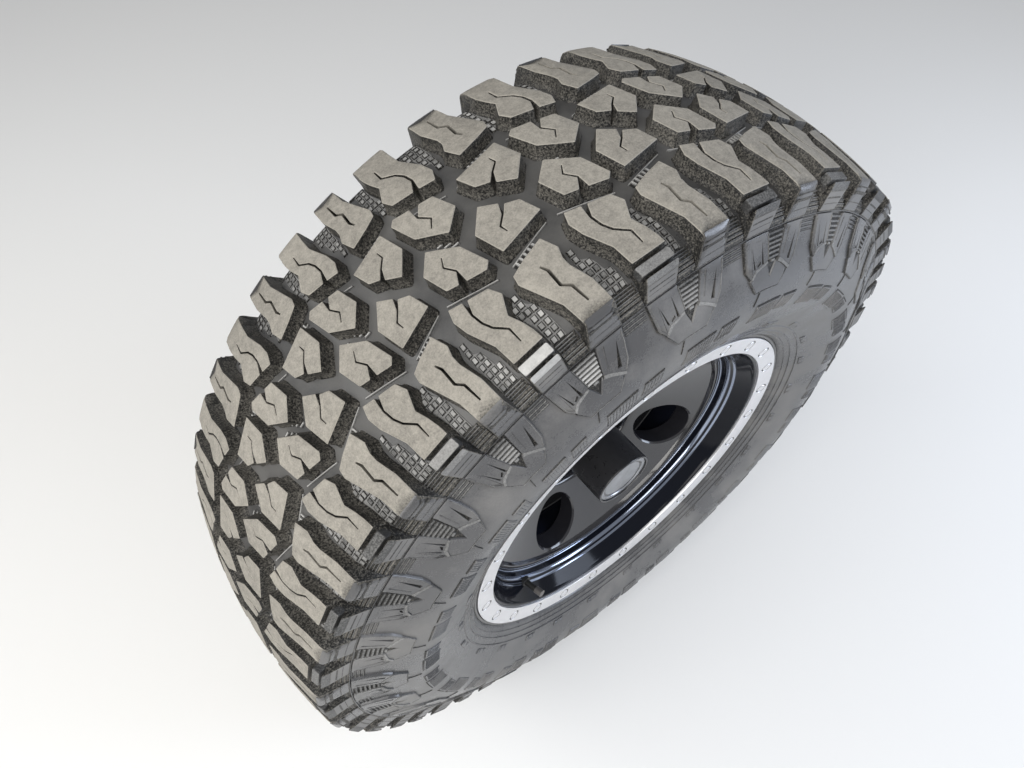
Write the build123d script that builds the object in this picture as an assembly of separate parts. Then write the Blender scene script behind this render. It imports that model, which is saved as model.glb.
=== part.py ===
from build123d import *
import math
import os

os.makedirs("parts", exist_ok=True)

# Off-road wheel and tyre on its bearing hub.
# All lengths are in millimetres and all angles in degrees.
# The spin axis is Y and +Z is up. The outboard side, which faces away from the vehicle, is -Y.
# The origin is the centre of the bearing housing's seat on the steering knuckle.
# A station is a distance outboard of the tyre's centre plane.

# Tyre
tyre_radius = 437.5
crown_arc_radius = 560.0
lug_depth = 14.0
floor_edge_station = 108.0
shoulder_drop = 46.5
parting_station = 133.6
upper_side_radius = 345.0
upper_side_station = 152.3
section_half_width = 159.0
section_radius = 308.0
protector_height = 14.2
protector_overhang = 14.7
protector_width = 7.0
belt_thickness = 14.0
side_thickness = 10.0
bead_width = 22.0
liner_flat_count = 25

# Tread pattern
# A pitch is two halves, and the halves come in two lengths so that the tyre does not hum.
# The lugs are drawn on a pitch whose halves are both half_length long.
half_order = "SSSSSSSSSSLLLSSLSSSLLLSSSLLSSSLLSSLLSSLLLLLLLLLLLS"
short_half_angle = 6.48
first_half_angle = 118.15
half_length = 50.75
flat_start = 33.5
lug_edge_station = 130.0
lug_root = 4.0

# Rim
rim_inside_width = 228.6
bead_seat_radius = 218.3
flange_height = 17.5
flange_thickness = 9.0
flange_edge_round = 2.5
hump_height = 1.5
hump_width = 8.0
well_radius = 192.0
well_near_station = 20.0
well_far_station = 64.0
barrel_wall = 7.0
ledge_station = 55.0
disc_edge_radius = 184.0
disc_edge_station = 86.0
step_radius = 195.0
step_station = 102.0
lip_inner_radius = 207.0

# Machined ring on the outboard lip
ring_inset = 2.3
ring_width = 23.5
ring_outer_station = 129.7
ring_inner_station = 126.5
ring_bolt_count = 24
ring_bolt_inset = 11.5
ring_dimple_radius = 7.5
ring_dimple_depth = 1.2

# Wheel disc
mount_face_station = -12.7
pad_thickness = 19.0
pad_radius = 80.0
wheel_bore_radius = 36.0
pocket_radius = 94.0
cone_slope = 0.53
cone_radius = 100.0
cone_station = 38.7
cone_thickness = 28.0
disc_edge_width = 6.0
window_count = 4
window_circle_radius = 141.0
window_radius = 35.5
window_first_angle = -115.2

# Wheel bolts
stud_count = 5
stud_circle_diameter = 127.0
stud_radius = 7.0
stud_head_radius = 10.0
stud_head_thickness = 4.0
stud_projection = 24.0
stud_first_angle = 90.0
nut_across_flats = 21.0
nut_length = 34.0
nut_washer_radius = 13.5
nut_washer_thickness = 4.0

# Centre cap
cap_radius = 39.0
cap_wall = 3.0
cap_far_station = 112.0
cap_recess = 3.0
cap_face_thickness = 1.5

# Valve
valve_angle = -138.0
valve_lean = 15.0
valve_seat_radius = 193.0
valve_seat_station = 99.0
valve_radius = 3.9
valve_length = 21.0
valve_tail_length = 34.0
valve_cap_radius = 4.8
valve_cap_length = 10.0
grommet_radius = 7.0
grommet_height = 5.0

# Brake disc
brake_radius = 151.0
brake_inner_radius = 92.0
brake_plate_thickness = 8.0
brake_vent_gap = 12.0
brake_far_station = -44.0
vane_count = 36
vane_thickness = 5.0
hat_radius = 86.0
hat_wall = 8.0

# Hub and bearing
hub_flange_radius = 73.0
hub_flange_thickness = 13.0
hub_pilot_radius = 35.7
hub_nose_radius = 24.0
hub_nose_station = 22.0
spindle_radius = 32.0
spline_bore_radius = 15.5
housing_radius = 45.0
housing_flange_radius = 74.0
housing_flange_thickness = 12.0
knuckle_station = -80.0
knuckle_pilot_radius = 43.5
knuckle_pilot_length = 18.0
knuckle_bolt_count = 3
knuckle_bolt_circle_diameter = 118.0
knuckle_bolt_hole_radius = 6.5
lock_ring_radius = 38.0
lock_ring_thickness = 4.0
shield_gap = 11.0
shield_thickness = 1.5
shield_rim_height = 9.0
caliper_gap_angle = 70.0
caliper_gap_centre = 180.0

# Fits
running_gap = 0.05
seat_gap = 0.3
thread_gap = 0.2
rotor_gap = 5.0

# Stations and radii that follow from the values above
rim_half_width = rim_inside_width / 2
flange_radius = bead_seat_radius + flange_height
flange_face_station = rim_half_width + flange_thickness
hat_station = mount_face_station - hat_wall
hub_flange_station = hat_station - hub_flange_thickness
housing_far_station = hub_flange_station - rotor_gap
pad_front_station = mount_face_station + pad_thickness
brake_near_station = brake_far_station - 2 * brake_plate_thickness - brake_vent_gap
pilot_end_station = knuckle_station - knuckle_pilot_length
cap_face_station = cap_far_station - cap_recess
stud_circle_radius = stud_circle_diameter / 2
shield_radius = brake_radius + shield_gap
ring_outer_radius = flange_radius - ring_inset
ring_inner_radius = ring_outer_radius - ring_width
ring_bolt_circle_radius = ring_outer_radius - ring_bolt_inset
parting_radius = tyre_radius - shoulder_drop
protector_radius = flange_radius + protector_height
protector_station = flange_face_station + protector_overhang
past_shoulder = section_half_width + 5

# Corners of the lugs on one pitch: (station, distance round the tread from the pitch's start)
plain_lug = [(57, 1), (past_shoulder, -7.5), (past_shoulder, 14), (70, 32)]
stepped_lug = [(60, 45), (past_shoulder, 40), (past_shoulder, 57), (54, 82.5)]
arrow_block = [(0.5, 14), (34, -13), (45.5, 23), (19, 29)]
house_block = [(0.5, 60.5), (17, 40.5), (48, 35), (38.5, 69.5), (15.5, 75)]


def row_y(station):
    """Y of a station in the part's own frame."""
    return knuckle_station - station


def around(angle):
    """Turn about the spin axis, from +X towards +Z."""
    return Rot(0, -angle, 0)


def turned(corners):
    """Solid of revolution about the spin axis, from (radius, station) corners."""
    outline = Polyline(*[(radius, row_y(station)) for radius, station in corners], close=True)
    return revolve(make_face(outline), Axis.Y)


def bar(radius, near_station, far_station):
    """Round bar along the spin axis between two stations."""
    middle = row_y((near_station + far_station) / 2)
    return Pos(0, middle, 0) * Rot(90, 0, 0) * Cylinder(radius, far_station - near_station)


def valve_place():
    """Place at the valve's seat, leaning in towards the spin axis as it comes out."""
    seat = Pos(valve_seat_radius, row_y(valve_seat_station), 0)
    return around(valve_angle) * seat * Rot(0, 0, -valve_lean)


def valve_bar(radius, near, far):
    """Round bar on the valve's axis, between two distances outboard of its seat."""
    return valve_place() * bar(radius, knuckle_station + near, knuckle_station + far)


def on_circle(piece, circle_radius, count, first_angle):
    """Copies of a piece, evenly spaced on a circle about the spin axis."""
    angles = [first_angle + 360 * index / count for index in range(count)]
    return [around(angle) * Pos(circle_radius, 0, 0) * piece for angle in angles]


def crown_radius(station):
    """Radius of the tread's crown arc at a station."""
    return tyre_radius - crown_arc_radius + math.sqrt(crown_arc_radius**2 - station**2)


def cone_front(radius):
    """Station of the wheel disc's front cone at a radius."""
    return cone_station + cone_slope * (radius - cone_radius)


def tread_halves():
    """Start angle of each half pitch round the tyre, with the last one's end."""
    long_count = half_order.count("L")
    long_angle = (360 - short_half_angle * half_order.count("S")) / long_count
    starts = [first_half_angle]
    for kind in half_order:
        starts.append(starts[-1] + (short_half_angle if kind == "S" else long_angle))
    return starts


half_starts = tread_halves()


def tread_angle(half, distance):
    """Angle of a distance round the drawn tread from the start of a half pitch."""
    whole, part = divmod(half + distance / half_length, 1)
    laps, index = divmod(int(whole), len(half_order))
    return 360 * laps + half_starts[index] * (1 - part) + half_starts[index + 1] * part


def both_sides(rows):
    """Section rows (radius, station) of one side, followed by their mirror image."""
    return rows + [(radius, -station) for radius, station in reversed(rows)]


def ring_flat(rows, middle_angle, half_angle):
    """One flat of a ring: its section pushed out both ways and cut at its two end planes."""
    section = make_face(Polyline(*[(radius, row_y(station)) for radius, station in rows], close=True))
    reach = 2 * tyre_radius
    spread = reach * math.tan(math.radians(half_angle))
    ends = Plane.XZ * make_face(Polyline((0, 0), (reach, spread), (reach, -spread), close=True))
    return around(middle_angle) * (extrude(section, spread, both=True) & extrude(ends, reach, both=True))


def tyre_casing():
    """Tread floor and sidewalls, with a flat for each half pitch that ends in its grooves."""
    rows = [(tyre_radius - lug_depth, 0)] + both_sides([
        (crown_radius(floor_edge_station) - lug_depth, floor_edge_station),
        (parting_radius, parting_station),
        (upper_side_radius, upper_side_station),
        (section_radius, section_half_width),
        (protector_radius, protector_station),
        (bead_seat_radius - 20, protector_station),
    ])
    flats = []
    for half in range(len(half_order)):
        start, end = tread_angle(half, flat_start), tread_angle(half + 1, flat_start)
        half_angle = (end - start) / 2
        corner_share = math.cos(math.radians(half_angle))
        flat_rows = [(radius * corner_share, station) for radius, station in rows]
        flats.append(ring_flat(flat_rows, start + half_angle, half_angle))
    return flats[0].fuse(*flats[1:])


def tyre_hollow():
    """Space inside the beads and the liner, with its flats on the stated radii."""
    flange_side = rim_half_width - seat_gap
    above_flange = flange_radius + seat_gap
    bead_bore = bead_seat_radius + seat_gap
    half_angle = 180 / liner_flat_count
    flat = ring_flat(both_sides([
        (bead_seat_radius - 40, protector_station + 5),
        (protector_radius - protector_width, protector_station + 5),
        (protector_radius - protector_width, protector_station),
        (above_flange, flange_side),
        (bead_bore, flange_side),
        (bead_bore, flange_side - bead_width),
        (section_radius, section_half_width - side_thickness),
        (crown_radius(floor_edge_station) - lug_depth - belt_thickness, floor_edge_station),
    ]), 0, half_angle)
    flats = [around(2 * half_angle * index) * flat for index in range(liner_flat_count)]
    return flats[0].fuse(*flats[1:])


def tread_lug(outline, pitch, side):
    """A lug with a flat top, on the outboard side (1) or turned half round on the inboard side (-1)."""
    stations, distances = zip(*outline)
    centre = tread_angle(2 * pitch, side * (min(distances) + max(distances)) / 2)
    corners = []
    for station, distance in outline:
        lean = math.radians(tread_angle(2 * pitch, side * distance) - centre)
        corners.append((tyre_radius + 1, row_y(side * station), tyre_radius * lean))
    block = extrude(make_face(Polyline(*corners, close=True)), 4 * lug_depth, dir=(-1, 0, 0))

    near = min(stations) - 3
    far = min(max(stations) + 3, lug_edge_station)
    root = lug_depth + lug_root
    rows = [(crown_radius(near) - root, near), (crown_radius(near), near), (crown_radius(far), far)]
    if max(stations) > far:
        rows.append((parting_radius - 1, parting_station - 2))
        far = floor_edge_station
    rows.append((crown_radius(far) - root, far))
    section = [(radius, row_y(side * station)) for radius, station in rows]
    section = make_face(Polyline(*section, close=True))
    return around(centre) * (block & extrude(section, half_length, both=True))


def tyre():
    outlines = [plain_lug, stepped_lug, arrow_block, house_block]
    pitches = range(len(half_order) // 2)
    lugs = [tread_lug(o, pitch, side) for pitch in pitches for side in (1, -1) for o in outlines]
    return (tyre_casing() - tyre_hollow()).fuse(*lugs)


def rim_barrel():
    near_edge = -rim_half_width
    hump_station = rim_half_width - bead_width - 1
    barrel_inner = bead_seat_radius - barrel_wall - 6
    barrel = turned([
        (lip_inner_radius, flange_face_station),
        (flange_radius - flange_edge_round, flange_face_station),
        (flange_radius, flange_face_station - flange_edge_round),
        (flange_radius, rim_half_width + flange_edge_round),
        (flange_radius - flange_edge_round, rim_half_width),
        (bead_seat_radius, rim_half_width),
        (bead_seat_radius, hump_station),
        (bead_seat_radius - hump_height, hump_station - hump_width),
        (well_radius, well_far_station),
        (well_radius, well_near_station),
        (bead_seat_radius - 6, well_near_station - 18),
        (bead_seat_radius - 6, -hump_station + hump_width),
        (bead_seat_radius, -hump_station),
        (bead_seat_radius, near_edge),
        (flange_radius - flange_edge_round, near_edge),
        (flange_radius, near_edge - flange_edge_round),
        (flange_radius, near_edge - flange_thickness),
        (flange_radius - 9, near_edge - flange_thickness),
        (barrel_inner + 6, near_edge + 4),
        (barrel_inner, near_edge + 16),
        (barrel_inner, well_near_station - 22),
        (disc_edge_radius - 6, well_near_station + 2),
        (disc_edge_radius - 6, ledge_station),
        (disc_edge_radius, ledge_station),
        (disc_edge_radius, disc_edge_station),
        (disc_edge_radius + 4, disc_edge_station),
        (disc_edge_radius + 5, step_station - 5),
        (step_radius, step_station),
    ])
    barrel -= valve_bar(valve_radius + seat_gap, -valve_tail_length - 10, 5)
    return barrel - valve_bar(grommet_radius + 1, 0, 12)


def trim_ring():
    ring = turned([
        (ring_inner_radius, flange_face_station),
        (ring_outer_radius, flange_face_station),
        (ring_outer_radius, ring_outer_station - 1),
        (ring_outer_radius - 1, ring_outer_station),
        (ring_inner_radius, ring_inner_station),
    ])
    middle_station = (ring_outer_station + ring_inner_station) / 2
    dimple = bar(ring_dimple_radius, middle_station - ring_dimple_depth, ring_outer_station + 5)
    return ring - on_circle(dimple, ring_bolt_circle_radius, ring_bolt_count, 5)


def wheel_disc():
    edge_radius = disc_edge_radius - seat_gap
    cone_edge_radius = edge_radius - disc_edge_width
    back_edge_radius = disc_edge_radius - 8
    disc = turned([
        (wheel_bore_radius, mount_face_station),
        (pad_radius, mount_face_station),
        (cone_radius - 4, cone_front(cone_radius - 4) - cone_thickness),
        (back_edge_radius, cone_front(back_edge_radius) - cone_thickness),
        (back_edge_radius, ledge_station),
        (edge_radius, ledge_station),
        (edge_radius, disc_edge_station),
        (cone_edge_radius + 2, disc_edge_station),
        (cone_edge_radius, cone_front(cone_edge_radius)),
        (pocket_radius, cone_front(pocket_radius)),
        (pocket_radius - 4, pad_front_station),
        (wheel_bore_radius, pad_front_station),
    ])
    window = bar(window_radius, mount_face_station, disc_edge_station + 5)
    stud_hole = bar(stud_radius + thread_gap, mount_face_station - 1, pad_front_station + 1)
    disc -= on_circle(window, window_circle_radius, window_count, window_first_angle)
    disc -= on_circle(stud_hole, stud_circle_radius, stud_count, stud_first_angle)
    return disc


def wheel_studs():
    far_station = pad_front_station + stud_projection
    shank = bar(stud_radius, hub_flange_station, far_station)
    head = bar(stud_head_radius, hub_flange_station - stud_head_thickness, hub_flange_station)
    return on_circle(shank + head, stud_circle_radius, stud_count, stud_first_angle)


def lug_nuts():
    washer_station = pad_front_station + nut_washer_thickness
    far_station = pad_front_station + nut_length
    hexagon = RegularPolygon(nut_across_flats / 2, 6, major_radius=False)
    body = extrude(hexagon, far_station - washer_station)
    body = Pos(0, row_y(washer_station), 0) * Rot(90, 0, 0) * body
    nut = body + bar(nut_washer_radius, pad_front_station, washer_station)
    thread_end = pad_front_station + stud_projection + 2
    nut -= bar(stud_radius + thread_gap, pad_front_station, thread_end)
    return on_circle(nut, stud_circle_radius, stud_count, stud_first_angle)


def centre_cap():
    bore = cap_radius - cap_wall
    return turned([
        (bore, pad_front_station),
        (cap_radius, pad_front_station),
        (cap_radius, cap_far_station - 1),
        (cap_radius - 1, cap_far_station),
        (bore + 1, cap_far_station),
        (bore, cap_face_station),
        (0, cap_face_station),
        (0, cap_face_station - cap_wall),
        (bore, cap_face_station - cap_wall),
    ])


def cap_face():
    return bar(cap_radius - cap_wall - seat_gap, cap_face_station, cap_face_station + cap_face_thickness)


def valve_stem():
    stem = valve_bar(valve_radius, -valve_tail_length, valve_length)
    return stem + valve_bar(grommet_radius, 0, grommet_height)


def valve_cap():
    return valve_bar(valve_cap_radius, valve_length, valve_length + valve_cap_length)


def brake_disc():
    outer_plate_back = brake_far_station - brake_plate_thickness
    inner_plate_front = brake_near_station + brake_plate_thickness
    hat_bore = hat_radius - hat_wall
    disc = turned([
        (hub_pilot_radius + seat_gap, mount_face_station),
        (hat_radius - 3, mount_face_station),
        (hat_radius, mount_face_station - 3),
        (hat_radius, brake_far_station),
        (brake_radius, brake_far_station),
        (brake_radius, outer_plate_back),
        (hat_bore, outer_plate_back),
        (hat_bore, hat_station),
        (hub_pilot_radius + seat_gap, hat_station),
    ])
    disc += turned([
        (brake_inner_radius, inner_plate_front),
        (brake_radius, inner_plate_front),
        (brake_radius, brake_near_station),
        (brake_inner_radius, brake_near_station),
    ])
    vane_length = brake_radius - brake_inner_radius - 4
    vane_middle = row_y((outer_plate_back + inner_plate_front) / 2)
    vane = Pos(0, vane_middle, 0) * Box(vane_length, brake_vent_gap, vane_thickness)
    vane_circle_radius = (brake_radius + brake_inner_radius) / 2
    disc += on_circle(vane, vane_circle_radius, vane_count, 0)
    stud_hole = bar(stud_radius + seat_gap, hat_station - 1, mount_face_station + 1)
    return disc - on_circle(stud_hole, stud_circle_radius, stud_count, stud_first_angle)


def hub():
    body = turned([
        (spline_bore_radius, pilot_end_station - seat_gap - lock_ring_thickness),
        (spindle_radius - 4, pilot_end_station - seat_gap - lock_ring_thickness),
        (spindle_radius - 4, pilot_end_station - seat_gap),
        (spindle_radius, pilot_end_station - seat_gap),
        (spindle_radius, hub_flange_station),
        (hub_flange_radius, hub_flange_station),
        (hub_flange_radius, hat_station),
        (hub_pilot_radius, hat_station),
        (hub_pilot_radius, pad_front_station - 4),
        (hub_nose_radius, pad_front_station - 2),
        (hub_nose_radius, hub_nose_station),
        (spline_bore_radius, hub_nose_station),
    ])
    stud_hole = bar(stud_radius + thread_gap, hub_flange_station - 1, hat_station + 1)
    return body - on_circle(stud_hole, stud_circle_radius, stud_count, stud_first_angle)


def bearing_lock_ring():
    ring_bore = spindle_radius - 4 + seat_gap
    near_station = pilot_end_station - seat_gap - lock_ring_thickness
    return turned([
        (ring_bore, pilot_end_station - seat_gap),
        (lock_ring_radius, pilot_end_station - seat_gap),
        (lock_ring_radius, near_station),
        (ring_bore, near_station),
    ])


def bearing_housing():
    flange_far_station = knuckle_station + housing_flange_thickness
    bore = spindle_radius + running_gap
    housing = turned([
        (bore, housing_far_station),
        (housing_radius, housing_far_station),
        (housing_radius, flange_far_station),
        (housing_flange_radius, flange_far_station),
        (housing_flange_radius, knuckle_station),
        (knuckle_pilot_radius, knuckle_station),
        (knuckle_pilot_radius, pilot_end_station),
        (bore, pilot_end_station),
    ])
    bolt_hole = bar(knuckle_bolt_hole_radius, knuckle_station - 1, flange_far_station + 1)
    circle_radius = knuckle_bolt_circle_diameter / 2
    return housing - on_circle(bolt_hole, circle_radius, knuckle_bolt_count, 30)


def dust_shield():
    shield_bore = housing_flange_radius + seat_gap
    front = knuckle_station + shield_thickness
    plate = turned([
        (shield_bore, knuckle_station),
        (shield_radius, knuckle_station),
        (shield_radius, front + shield_rim_height),
        (shield_radius - shield_thickness, front + shield_rim_height),
        (shield_radius - shield_thickness, front),
        (shield_bore, front),
    ])
    reach = shield_radius * 1.5
    half_angle = math.radians(caliper_gap_angle / 2)
    wedge_width = reach * math.tan(half_angle)
    start_radius = hat_radius + rotor_gap
    wedge = Polyline((0, 0), (reach, wedge_width), (reach, -wedge_width), close=True)
    gap = extrude(make_face(wedge), 4 * shield_rim_height, both=True)
    gap = Rot(90, 0, 0) * gap - bar(start_radius, knuckle_station - 20, knuckle_station + 20)
    return plate - around(caliper_gap_centre) * gap


pieces = {
    "tyre": tyre,
    "rim_barrel": rim_barrel,
    "trim_ring": trim_ring,
    "wheel_disc": wheel_disc,
    "wheel_studs": wheel_studs,
    "lug_nuts": lug_nuts,
    "centre_cap": centre_cap,
    "cap_face": cap_face,
    "valve_stem": valve_stem,
    "valve_cap": valve_cap,
    "brake_disc": brake_disc,
    "hub": hub,
    "bearing_lock_ring": bearing_lock_ring,
    "bearing_housing": bearing_housing,
    "dust_shield": dust_shield,
}

for name, make in pieces.items():
    made = make()
    solids = made if isinstance(made, list) else [made]
    children = [solid for item in solids for solid in item.solids()]
    export_step(Compound(children=children), f"parts/{name}.step")
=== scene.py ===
# %% [markdown]
# # An off-road wheel and tyre on its bearing hub
#
# The real object is a 35 inch mud-terrain tyre on a gloss black wheel with a bright machined ring.
# A CAD model of it is already here as a fixed frame, with its real sizes and its joint. This lesson
# dresses that frame. Most shapes on a wheel are a profile carried round one axis, or something
# repeated round it, so almost everything below is a function of two numbers: one along a profile,
# one around the axis.

# %% Load the frame
import math
import bpy
import numpy as np
from mathutils.geometry import delaunay_2d_cdt
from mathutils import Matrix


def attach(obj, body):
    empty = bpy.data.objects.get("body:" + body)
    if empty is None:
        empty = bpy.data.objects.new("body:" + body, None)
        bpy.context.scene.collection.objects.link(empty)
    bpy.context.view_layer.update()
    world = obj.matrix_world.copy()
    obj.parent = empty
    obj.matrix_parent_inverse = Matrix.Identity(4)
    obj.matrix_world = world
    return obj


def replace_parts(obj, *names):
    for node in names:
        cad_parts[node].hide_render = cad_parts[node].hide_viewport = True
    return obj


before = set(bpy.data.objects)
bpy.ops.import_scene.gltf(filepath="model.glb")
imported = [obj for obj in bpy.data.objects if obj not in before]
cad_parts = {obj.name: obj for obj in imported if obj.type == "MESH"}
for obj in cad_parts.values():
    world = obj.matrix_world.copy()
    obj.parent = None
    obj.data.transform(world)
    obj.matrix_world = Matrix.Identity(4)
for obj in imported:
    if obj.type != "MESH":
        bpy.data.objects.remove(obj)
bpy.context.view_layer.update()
scene = bpy.context.scene

# %% [markdown]
# ## Points on a wheel
#
# A point on a wheel is easiest to name by its radius, its station (how far outboard of the tyre's
# centre plane it lies) and its angle about the spin axis. One function turns those three, given in
# millimetres and degrees, into Blender's metres. Everything else in the file goes through it.

# %% Wheel coordinates
centre_plane_y = -0.080
millimetre = 0.001


def wheel_points(radius, station, angle):
    """x = radius cos(angle), y = centre plane - station, z = radius sin(angle), in metres."""
    radius, station, turn = np.broadcast_arrays(radius, station, np.radians(angle))
    return np.stack([
        radius * np.cos(turn) * millimetre,
        centre_plane_y - station * millimetre,
        radius * np.sin(turn) * millimetre,
    ], axis=-1)


print("top of the tread:", wheel_points(437.5, 0.0, 90.0).round(4))

# %% [markdown]
# ## From grids to meshes
#
# A grid of points becomes a mesh when each small square of neighbours becomes a face. Whether the
# faces look outwards is settled once for every shape: a closed shape whose faces look inwards has
# a negative volume, so then all its faces are turned over.

# %% Grid faces and volume
def grid_faces(rows, columns, close_rows=True, close_columns=True):
    """Each face joins point (i, j) to its neighbours at i+1 and j+1; a closed side wraps round."""
    i = np.arange(rows if close_rows else rows - 1)[:, None]
    j = np.arange(columns if close_columns else columns - 1)[None, :]
    i_next, j_next = (i + 1) % rows, (j + 1) % columns
    corners = [i * columns + j, i * columns + j_next, i_next * columns + j_next, i_next * columns + j]
    return np.stack([c + 0 * (i + j) for c in corners], axis=-1).reshape(-1, 4)


def enclosed_volume(points, faces):
    """A sixth of the sum of a . (b x c) over the triangles."""
    a, b, c = points[faces[:, 0]], points[faces[:, 1]], points[faces[:, 2]]
    total = np.einsum("ij,ij->i", a, np.cross(b, c)).sum()
    if faces.shape[1] == 4:
        d = points[faces[:, 3]]
        total += np.einsum("ij,ij->i", a, np.cross(c, d)).sum()
    return total / 6


print("a grid of 3 by 4 points, closed both ways, has", len(grid_faces(3, 4)), "faces")


# %% From shapes to a piece
def make_piece(name, shapes, body, material, sharp=40.0, marks=None):
    """One object from a list of closed shapes, each a pair of points and faces.

    Edges that bend by more than the sharp angle stay crisp. The marks are numbers on the points,
    such as dust, which the materials read.
    """
    all_points, all_faces, start = [], [], 0
    for points, faces in shapes:
        points = np.asarray(points, float).reshape(-1, 3)
        if enclosed_volume(points, faces) < 0:
            faces = faces[:, ::-1]
        all_points.append(points)
        all_faces.extend((faces + start).tolist())
        start += len(points)
    mesh = bpy.data.meshes.new(name)
    mesh.from_pydata(np.concatenate(all_points).tolist(), [], all_faces)
    mesh.shade_smooth()
    mesh.set_sharp_from_angle(angle=math.radians(sharp))
    for mark, values in (marks or {}).items():
        mesh.attributes.new(mark, "FLOAT", "POINT").data.foreach_set("value", np.ravel(values))
    mesh.materials.append(material)
    piece = bpy.data.objects.new(name, mesh)
    scene.collection.objects.link(piece)
    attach(piece, body)
    print(f"{name}: {sum(len(f) - 2 for f in all_faces)} triangles")
    return piece


print("pieces ride on a body of the frame and carry a material slot")


# %% Rounded corners and turned profiles
most_of_side = 0.45


def rounded(corners, reach, steps=4):
    """Each corner c becomes a short curve (1-t)^2 a + 2t(1-t) c + t^2 b, with a and b on its sides.

    a and b lie at the reach from the corner, or at most_of_side of the shorter side if that is less.
    """
    c = np.array(corners, float)
    before, after = np.roll(c, 1, 0) - c, np.roll(c, -1, 0) - c
    long_before = np.linalg.norm(before, axis=1, keepdims=True)
    long_after = np.linalg.norm(after, axis=1, keepdims=True)
    reach = np.minimum(np.reshape(reach, (-1, 1)), most_of_side * np.minimum(long_before, long_after))
    a, b = c + before / long_before * reach, c + after / long_after * reach
    t = np.linspace(0, 1, steps)[None, :, None]
    curve = (1 - t) ** 2 * a[:, None] + 2 * t * (1 - t) * c[:, None] + t**2 * b[:, None]
    return curve.reshape(-1, 2)


def turned(profile, columns):
    """A closed (radius, station) profile carried round the spin axis in even steps."""
    profile = np.array(profile, float)
    angle = np.arange(columns) * 360.0 / columns
    points = wheel_points(profile[:, :1], profile[:, 1:], angle[None, :])
    return points.reshape(-1, 3), grid_faces(len(profile), columns)


print("a square with rounded corners has", len(rounded([(0, 0), (1, 0), (1, 1), (0, 1)], 0.2)), "points")

# %% [markdown]
# ## Camera
#
# The photograph looks down on the wheel from outboard and ahead. The place of the camera was found
# from the ellipses of the rim: the spin axis, the ring and the bead all had to fall on one cone of view.

# %% Camera
camera_tilt, camera_turn = 34.96, -37.74
camera_data = bpy.data.cameras.new("camera")
camera_data.lens = 26.433
camera_data.sensor_width = 36.0
camera = bpy.data.objects.new("camera", camera_data)
camera.location = (-0.37045, -0.44727, 0.81755)
camera.rotation_euler = (math.radians(camera_tilt), 0.0, math.radians(camera_turn))
scene.collection.objects.link(camera)
scene.camera = camera
scene.view_settings.view_transform = "Standard"
print("camera looks down by", round(90 - camera_tilt, 1), "degrees")

# %% [markdown]
# ## Materials as small sums
#
# A material here is a sum of a few noises, read at each point's place on the object. These helpers
# give one node each: a noise, a change of range, a sum or product, a mix of colours and a bump.

# %% Node helpers
def shader_nodes(name):
    """A new material with its node tree and its main shader."""
    material = bpy.data.materials.new(name)
    material.use_nodes = True
    tree = material.node_tree
    return material, tree, tree.nodes["Principled BSDF"]


def add_node(tree, kind, inputs=None, **settings):
    """One node, with its settings, and with a link to each input that is given as a socket."""
    node = tree.nodes.new(kind)
    for key, value in settings.items():
        setattr(node, key, value)
    for key, value in (inputs or {}).items():
        if isinstance(value, bpy.types.NodeSocket):
            tree.links.new(value, node.inputs[key])
        else:
            node.inputs[key].default_value = value
    return node


def object_place(tree):
    """Each point's own place on the object, so that a pattern moves with the wheel."""
    return add_node(tree, "ShaderNodeTexCoord").outputs["Object"]


def mark(tree, name):
    """The number of that name that the mesh carries on its points."""
    return add_node(tree, "ShaderNodeAttribute", attribute_name=name).outputs["Fac"]


def noise(tree, place, scale, detail, roughness):
    """Cloudy noise about 0.5, finer with a larger scale."""
    inputs = {"Vector": place, "Scale": scale, "Detail": detail, "Roughness": roughness}
    return add_node(tree, "ShaderNodeTexNoise", inputs).outputs["Fac"]


print("nodes for places, marks and noise")


# %% Sum, mix and bump helpers
def remap(tree, value, low, high, from_low=0.0, from_high=1.0):
    """low + (high - low) (value - from_low) / (from_high - from_low), held between low and high."""
    inputs = {"Value": value, "From Min": from_low, "From Max": from_high, "To Min": low, "To Max": high}
    return add_node(tree, "ShaderNodeMapRange", inputs).outputs["Result"]


def combine(tree, operation, first, second, clamp=False):
    """One sum, difference or product of two values, held between 0 and 1 if clamped."""
    inputs = {0: first, 1: second}
    return add_node(tree, "ShaderNodeMath", inputs, operation=operation, use_clamp=clamp).outputs[0]


def mixed(tree, share, first, second):
    """first (1 - share) + second share, for two colours."""
    inputs = {"Factor": share, 6: first, 7: second}
    return add_node(tree, "ShaderNodeMix", inputs, data_type="RGBA").outputs[2]


def bumped(tree, height, strength, distance, **below):
    """The surface's normal, tilted as if it stood out by a height. below is a Normal to start from."""
    inputs = {"Height": height, "Strength": strength, "Distance": distance, **below}
    return add_node(tree, "ShaderNodeBump", inputs).outputs["Normal"]


print("nodes for sums, mixes and bumps")

# %% [markdown]
# ## Floor and light
#
# The wheel stands on a plain pale floor, which keeps its shadow. Dark rubber shows its shape best
# under soft light from several sides, so there are four broad lamps: one overhead for the tread, one
# at the side for the ring and the sidewall, a bluish one far round the front that draws thin edges on
# the shoulder and in the paint, and one behind for the inboard lugs.

# %% Floor
floor_z = -0.4375
reach = 6.0
floor_mesh = bpy.data.meshes.new("floor")
floor_mesh.from_pydata(
    [(-reach, -reach, floor_z), (reach, -reach, floor_z), (reach, reach, floor_z), (-reach, reach, floor_z)],
    [], [(0, 1, 2, 3)])
floor = bpy.data.objects.new("floor", floor_mesh)
scene.collection.objects.link(floor)
floor_finish, tree, shader = shader_nodes("pale_floor")
shader.inputs["Base Color"].default_value = (0.80, 0.80, 0.79, 1)
shader.inputs["Roughness"].default_value = 0.9
shader.inputs["Specular IOR Level"].default_value = 0.1
floor_mesh.materials.append(floor_finish)
print("floor at", floor_z, "m")

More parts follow.
